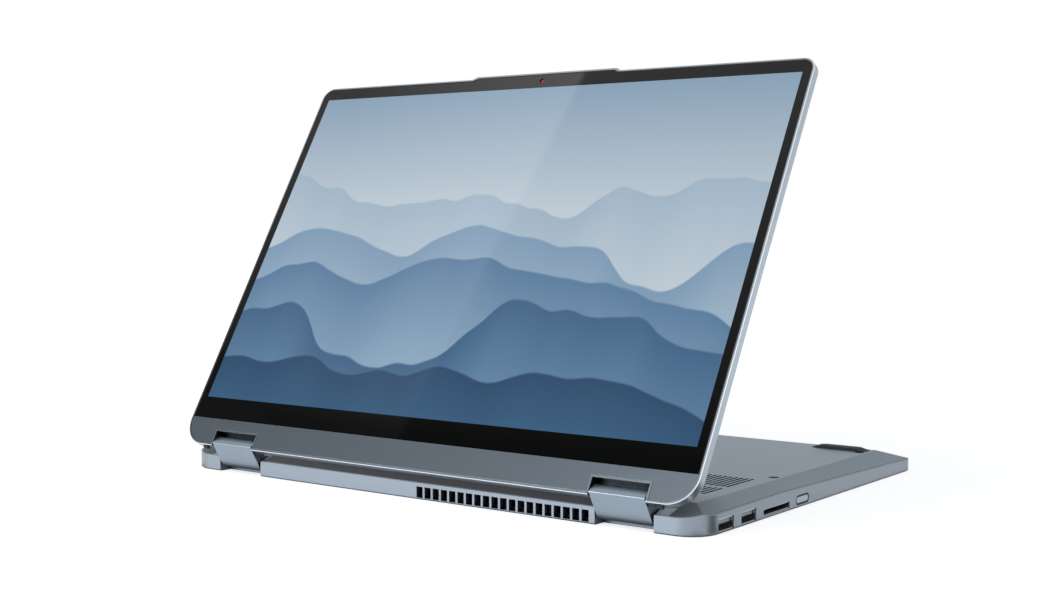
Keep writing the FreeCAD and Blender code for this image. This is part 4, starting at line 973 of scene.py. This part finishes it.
@dataclass(frozen=True)
class CeilingCard:
    """A dark card overhead that the screen mirrors, with a soft light beyond a slanting edge.

    The edge gives the screen its slanting glare, which fades away from the edge and towards the
    viewer.

    Attributes:
        name: Name of the card.
        height: Height over the floor, in metres.
        corners: Outline of the card, seen from above.
        edge_start: Where the slanting edge starts, over the top of the screen.
        edge_end: Where the slanting edge ends, over the foot of the screen.
        near: Brightness over the foot of the screen.
        far: Brightness over the top of the screen.
        glare: Brightness added beside the edge, over the top of the screen.
        fade: Width over which the glare fades.
    """

    name: str = "ceiling_card"
    height: float = 1.2
    corners: tuple[FlatPoint, ...] = ((-0.12, -0.2), (-0.72, -1.2), (-2.6, -2.3), (-2.6, -0.2))
    edge_start: FlatPoint = (-0.707, -0.431)
    edge_end: FlatPoint = (-1.343, -1.111)
    near: float = 0.06
    far: float = 0.6
    glare: float = 1.0
    fade: float = 0.3

    def outline(self) -> list[Vector]:
        """Corners of the card in the frame of the whole computer."""
        return [Vector((x, y, self.height)) for x, y in self.corners]

    def build(self) -> Material:
        """Makes the card's own light.

        Returns:
            A material that glows as the attributes say.
        """
        material, tree = new_material(self.name)
        place = add_node(tree, Kind.PLACE).outputs["Object"]
        ahead = add_node(tree, Kind.AXES, {0: place}).outputs["Y"]
        span = {"Value": ahead, "From Min": self.edge_end[1], "From Max": self.edge_start[1]}
        level = add_node(tree, Kind.RANGE, {**span, "To Min": self.near, "To Max": self.far})
        dimming = add_node(tree, Kind.RANGE, {
            **span, "To Min": self.near * self.glare, "To Max": self.glare})
        start = Vector((*self.edge_start, self.height))
        along = (Vector((*self.edge_end, self.height)) - start).normalized()
        beyond = Vector((along.y, -along.x, 0.0))
        offset = add_node(tree, Kind.VECTOR, {0: place, 1: start}, operation="SUBTRACT")
        aside = add_node(tree, Kind.VECTOR, {0: offset, 1: beyond}, operation="DOT_PRODUCT")
        fading = add_node(tree, Kind.RANGE, {
            "Value": aside, "From Max": self.fade, "To Min": 1.0, "To Max": 0.0})
        past = add_node(tree, Kind.MATH, {0: aside, 1: 0.0}, operation="GREATER_THAN")
        wedge = add_node(tree, Kind.MATH, {0: fading, 1: past}, operation="MULTIPLY")
        total = add_node(tree, Kind.MATH, {0: wedge, 1: dimming, 2: level},
                         operation="MULTIPLY_ADD")
        glow = add_node(tree, Kind.GLOW, {"Strength": total})
        add_node(tree, Kind.OUTPUT, {"Surface": glow})
        return material


@dataclass(frozen=True)
class Lamp:
    """A soft lamp.

    Attributes:
        name: Name of the lamp.
        place: Where it hangs, in metres.
        size: Width and height of its soft face, in metres.
        power: Power in watts.
        target: What it points at.
    """

    name: str
    place: Point
    size: FlatPoint
    power: float
    target: Point = (0.0, 0.0, 0.05)

    def hang(self) -> None:
        """Hangs the lamp and points it."""
        data = bpy.data.lights.new(self.name, "AREA")
        data.shape = "RECTANGLE"
        data.size, data.size_y = self.size
        data.energy = self.power
        lamp = bpy.data.objects.new(self.name, data)
        lamp.location = self.place
        aim = Vector(self.target) - Vector(self.place)
        lamp.rotation_euler = aim.to_track_quat("-Z", "Y").to_euler()
        bpy.context.scene.collection.objects.link(lamp)


@dataclass(frozen=True)
class Viewpoint:
    """Where the camera stands, solved from the photograph.

    Attributes:
        azimuth_deg: Direction of the camera, from straight ahead towards X.
        elevation_deg: How far it looks down.
        roll_deg: How far it is turned about its own line of sight.
        place: Its place, in metres.
        focal_px: Focal length in pixels of the photograph.
        sensor_mm: Width of the sensor.
        clip: Nearest and farthest distance that it sees, in metres.
    """

    azimuth_deg: float = 36.484
    elevation_deg: float = 3.089
    roll_deg: float = 0.025
    place: Point = (0.47474, -0.65671, 0.13461)
    focal_px: float = 1536.1
    sensor_mm: float = 36.0
    clip: FlatPoint = (0.01, 50.0)

    def axes(self) -> Matrix:
        """Finds the camera's right, up and back.

        Returns:
            A rotation with those directions as its columns.
        """
        a, e, r = (math.radians(v) for v in (self.azimuth_deg, self.elevation_deg, self.roll_deg))
        back = Vector((math.sin(a) * math.cos(e), -math.cos(a) * math.cos(e), math.sin(e)))
        right = Vector((math.cos(a), math.sin(a), 0.0))
        up = back.cross(right)
        turned_right = math.cos(r) * right + math.sin(r) * up
        turned_up = -math.sin(r) * right + math.cos(r) * up
        return Matrix((turned_right, turned_up, back)).transposed()

    def set_camera(self) -> None:
        """Stands the camera there, and makes it the scene's."""
        data = bpy.data.cameras.new("camera")
        data.sensor_fit = "HORIZONTAL"
        data.sensor_width = self.sensor_mm
        data.lens = self.focal_px / PHOTO_WIDTH * self.sensor_mm
        data.clip_start, data.clip_end = self.clip
        camera = bpy.data.objects.new("camera", data)
        camera.matrix_world = Matrix.Translation(self.place) @ self.axes().to_4x4()
        bpy.context.scene.collection.objects.link(camera)
        bpy.context.scene.camera = camera


@dataclass
class Studio:
    """Camera, lamps, cards and the white floor.

    Attributes:
        viewpoint: Where the camera stands.
        lamps: Soft lamps: a weak one on the right, and the main one in front, low and wide.
        cards: Cards that only reflections show. The right flag and the corner shade darken the
            near corner, and the contact shade draws the dark line under the walls.
        sky_tint: Colour of the world as a light.
        sky_light: Strength of the world as a light.
        floor_paint: Colour of the floor.
        floor_half: Half of the floor's width, in metres.
        glow_reach: Distances from the middle between which the floor's own light rises to white.
        glow_level: The floor's own light at those distances.
    """

    viewpoint: Viewpoint = Viewpoint()
    lamps: tuple[Lamp, ...] = (
        Lamp("side_lamp", place=(1.9, -1.3, 1.0), size=(1.6, 1.6), power=3.0),
        Lamp("front_lamp", place=(-1.1, -2.4, 0.42), size=(1.8, 0.7), power=31.0),
    )
    cards: tuple[Card, ...] = (
        StandingCard("left_flag", strength=0.1, azimuth=-168.0, elevation=22.0, width=44.0,
                     height=28.0),
        StandingCard("right_flag", strength=0.05, azimuth=24.0, elevation=14.0, width=28.0,
                     height=28.0),
        StandingCard("rear_flag", strength=0.5, azimuth=112.0, elevation=36.0, width=80.0,
                     height=40.0),
        FloorCard("contact_shade", strength=0.1, corners=(
            (-0.1588, -0.1093), (0.1588, -0.1093), (0.1588, 0.1158), (-0.1588, 0.1158))),
        FloorCard("corner_shade", strength=0.05, corners=(
            (0.16, -0.1), (1.1, 0.07), (0.8, 0.48), (0.16, -0.09))),
        CeilingCard(),
    )
    sky_tint: str = "#F4F7FA"
    sky_light: float = 0.3
    floor_paint: str = "#E8EAEC"
    floor_half: float = 6.0
    glow_reach: FlatPoint = (0.2, 0.7)
    glow_level: FlatPoint = (0.74, 1.0)

    def build(self) -> None:
        """Sets the camera, the world, the floor, the cards and the lamps."""
        self.viewpoint.set_camera()
        self.light_world()
        self.lay_floor()
        for card in self.cards:
            self.set_card(card)
        for lamp in self.lamps:
            lamp.hang()

    def light_world(self) -> None:
        """Makes the world white to the eye and in reflections, and dimmer as a light."""
        world = bpy.data.worlds.new("studio_world")
        bpy.context.scene.world = world
        world.use_nodes = True
        tree = world.node_tree
        tree.nodes.clear()
        dim = add_node(tree, Kind.SKY, {
            "Color": to_linear(self.sky_tint), "Strength": self.sky_light})
        white = add_node(tree, Kind.SKY, {"Color": to_linear("#FFFFFF"), "Strength": 1.0})
        mixed = add_node(tree, Kind.EITHER, {0: self.seen(tree), 1: dim, 2: white})
        add_node(tree, Kind.WORLD_OUTPUT, {"Surface": mixed})

    def seen(self, tree: Tree) -> Node:
        """Tells what the eye sees, straight or by reflection, from what only lights.

        Args:
            tree: Node tree to add to.

        Returns:
            1 for camera, glossy and transmission rays, and 0 for others.
        """
        path = add_node(tree, Kind.RAY).outputs
        straight = add_node(tree, Kind.MATH, {
            0: path["Is Camera Ray"], 1: path["Is Glossy Ray"]}, operation="MAXIMUM")
        return add_node(tree, Kind.MATH, {0: straight, 1: path["Is Transmission Ray"]},
                        operation="MAXIMUM")

    def stage_mesh(self, name: str, points: Sequence[Vector],
                   material: Material) -> bpy.types.Object:
        """Makes one flat piece of the set.

        Args:
            name: Name of the piece.
            points: Its corners, in order.
            material: What it is covered with.

        Returns:
            The new object.
        """
        shape = bmesh.new()
        shape.faces.new([shape.verts.new(point) for point in points])
        data = bpy.data.meshes.new(name)
        shape.to_mesh(data)
        shape.free()
        data.materials.append(material)
        piece = bpy.data.objects.new(name, data)
        bpy.context.scene.collection.objects.link(piece)
        return piece

    def set_card(self, card: Card) -> None:
        """Sets one card that only reflections show.

        Args:
            card: The card.
        """
        piece = self.stage_mesh(card.name, card.outline(), card.build())
        piece.visible_camera = piece.visible_diffuse = piece.visible_shadow = False
        piece.visible_transmission = piece.visible_volume_scatter = False

    def lay_floor(self) -> None:
        """Lays the white floor, which keeps a faint shadow."""
        material, tree = new_material("matt_white_floor")
        paint = add_node(tree, Kind.MATT, {"Color": to_linear(self.floor_paint)})
        place = add_node(tree, Kind.PLACE).outputs["Object"]
        away = add_node(tree, Kind.VECTOR, {0: place}, operation="LENGTH")
        start, end = self.glow_reach
        low, high = self.glow_level
        lift = add_node(tree, Kind.RANGE, {
            "Value": away, "From Min": start, "From Max": end, "To Min": low, "To Max": high})
        glow = add_node(tree, Kind.GLOW, {"Strength": lift})
        dark = add_node(tree, Kind.GLOW, {"Strength": 0.0})
        chosen = add_node(tree, Kind.EITHER, {0: self.seen(tree), 1: dark, 2: glow})
        total = add_node(tree, Kind.BOTH, {0: paint, 1: chosen})
        add_node(tree, Kind.OUTPUT, {"Surface": total})
        far = self.floor_half
        spots = ((-far, -far), (far, -far), (far, far), (-far, far))
        self.stage_mesh("floor", [Vector((x, y, 0.0)) for x, y in spots], material)


def main() -> None:
    """Dresses the sub-assemblies, then sets up the studio."""
    bpy.context.scene.view_settings.view_transform = "Standard"
    shop = Workshop()
    units: tuple[Unit, ...] = (BaseUnit(), KeyDeck(), SidePorts(), HingePair(), ScreenLid(),
                               InnerWorks())
    for unit in units:
        unit.dress(shop)
        LOG.info("finished %s", type(unit).__name__)
    Studio().build()


if __name__ == "__main__":
    main()
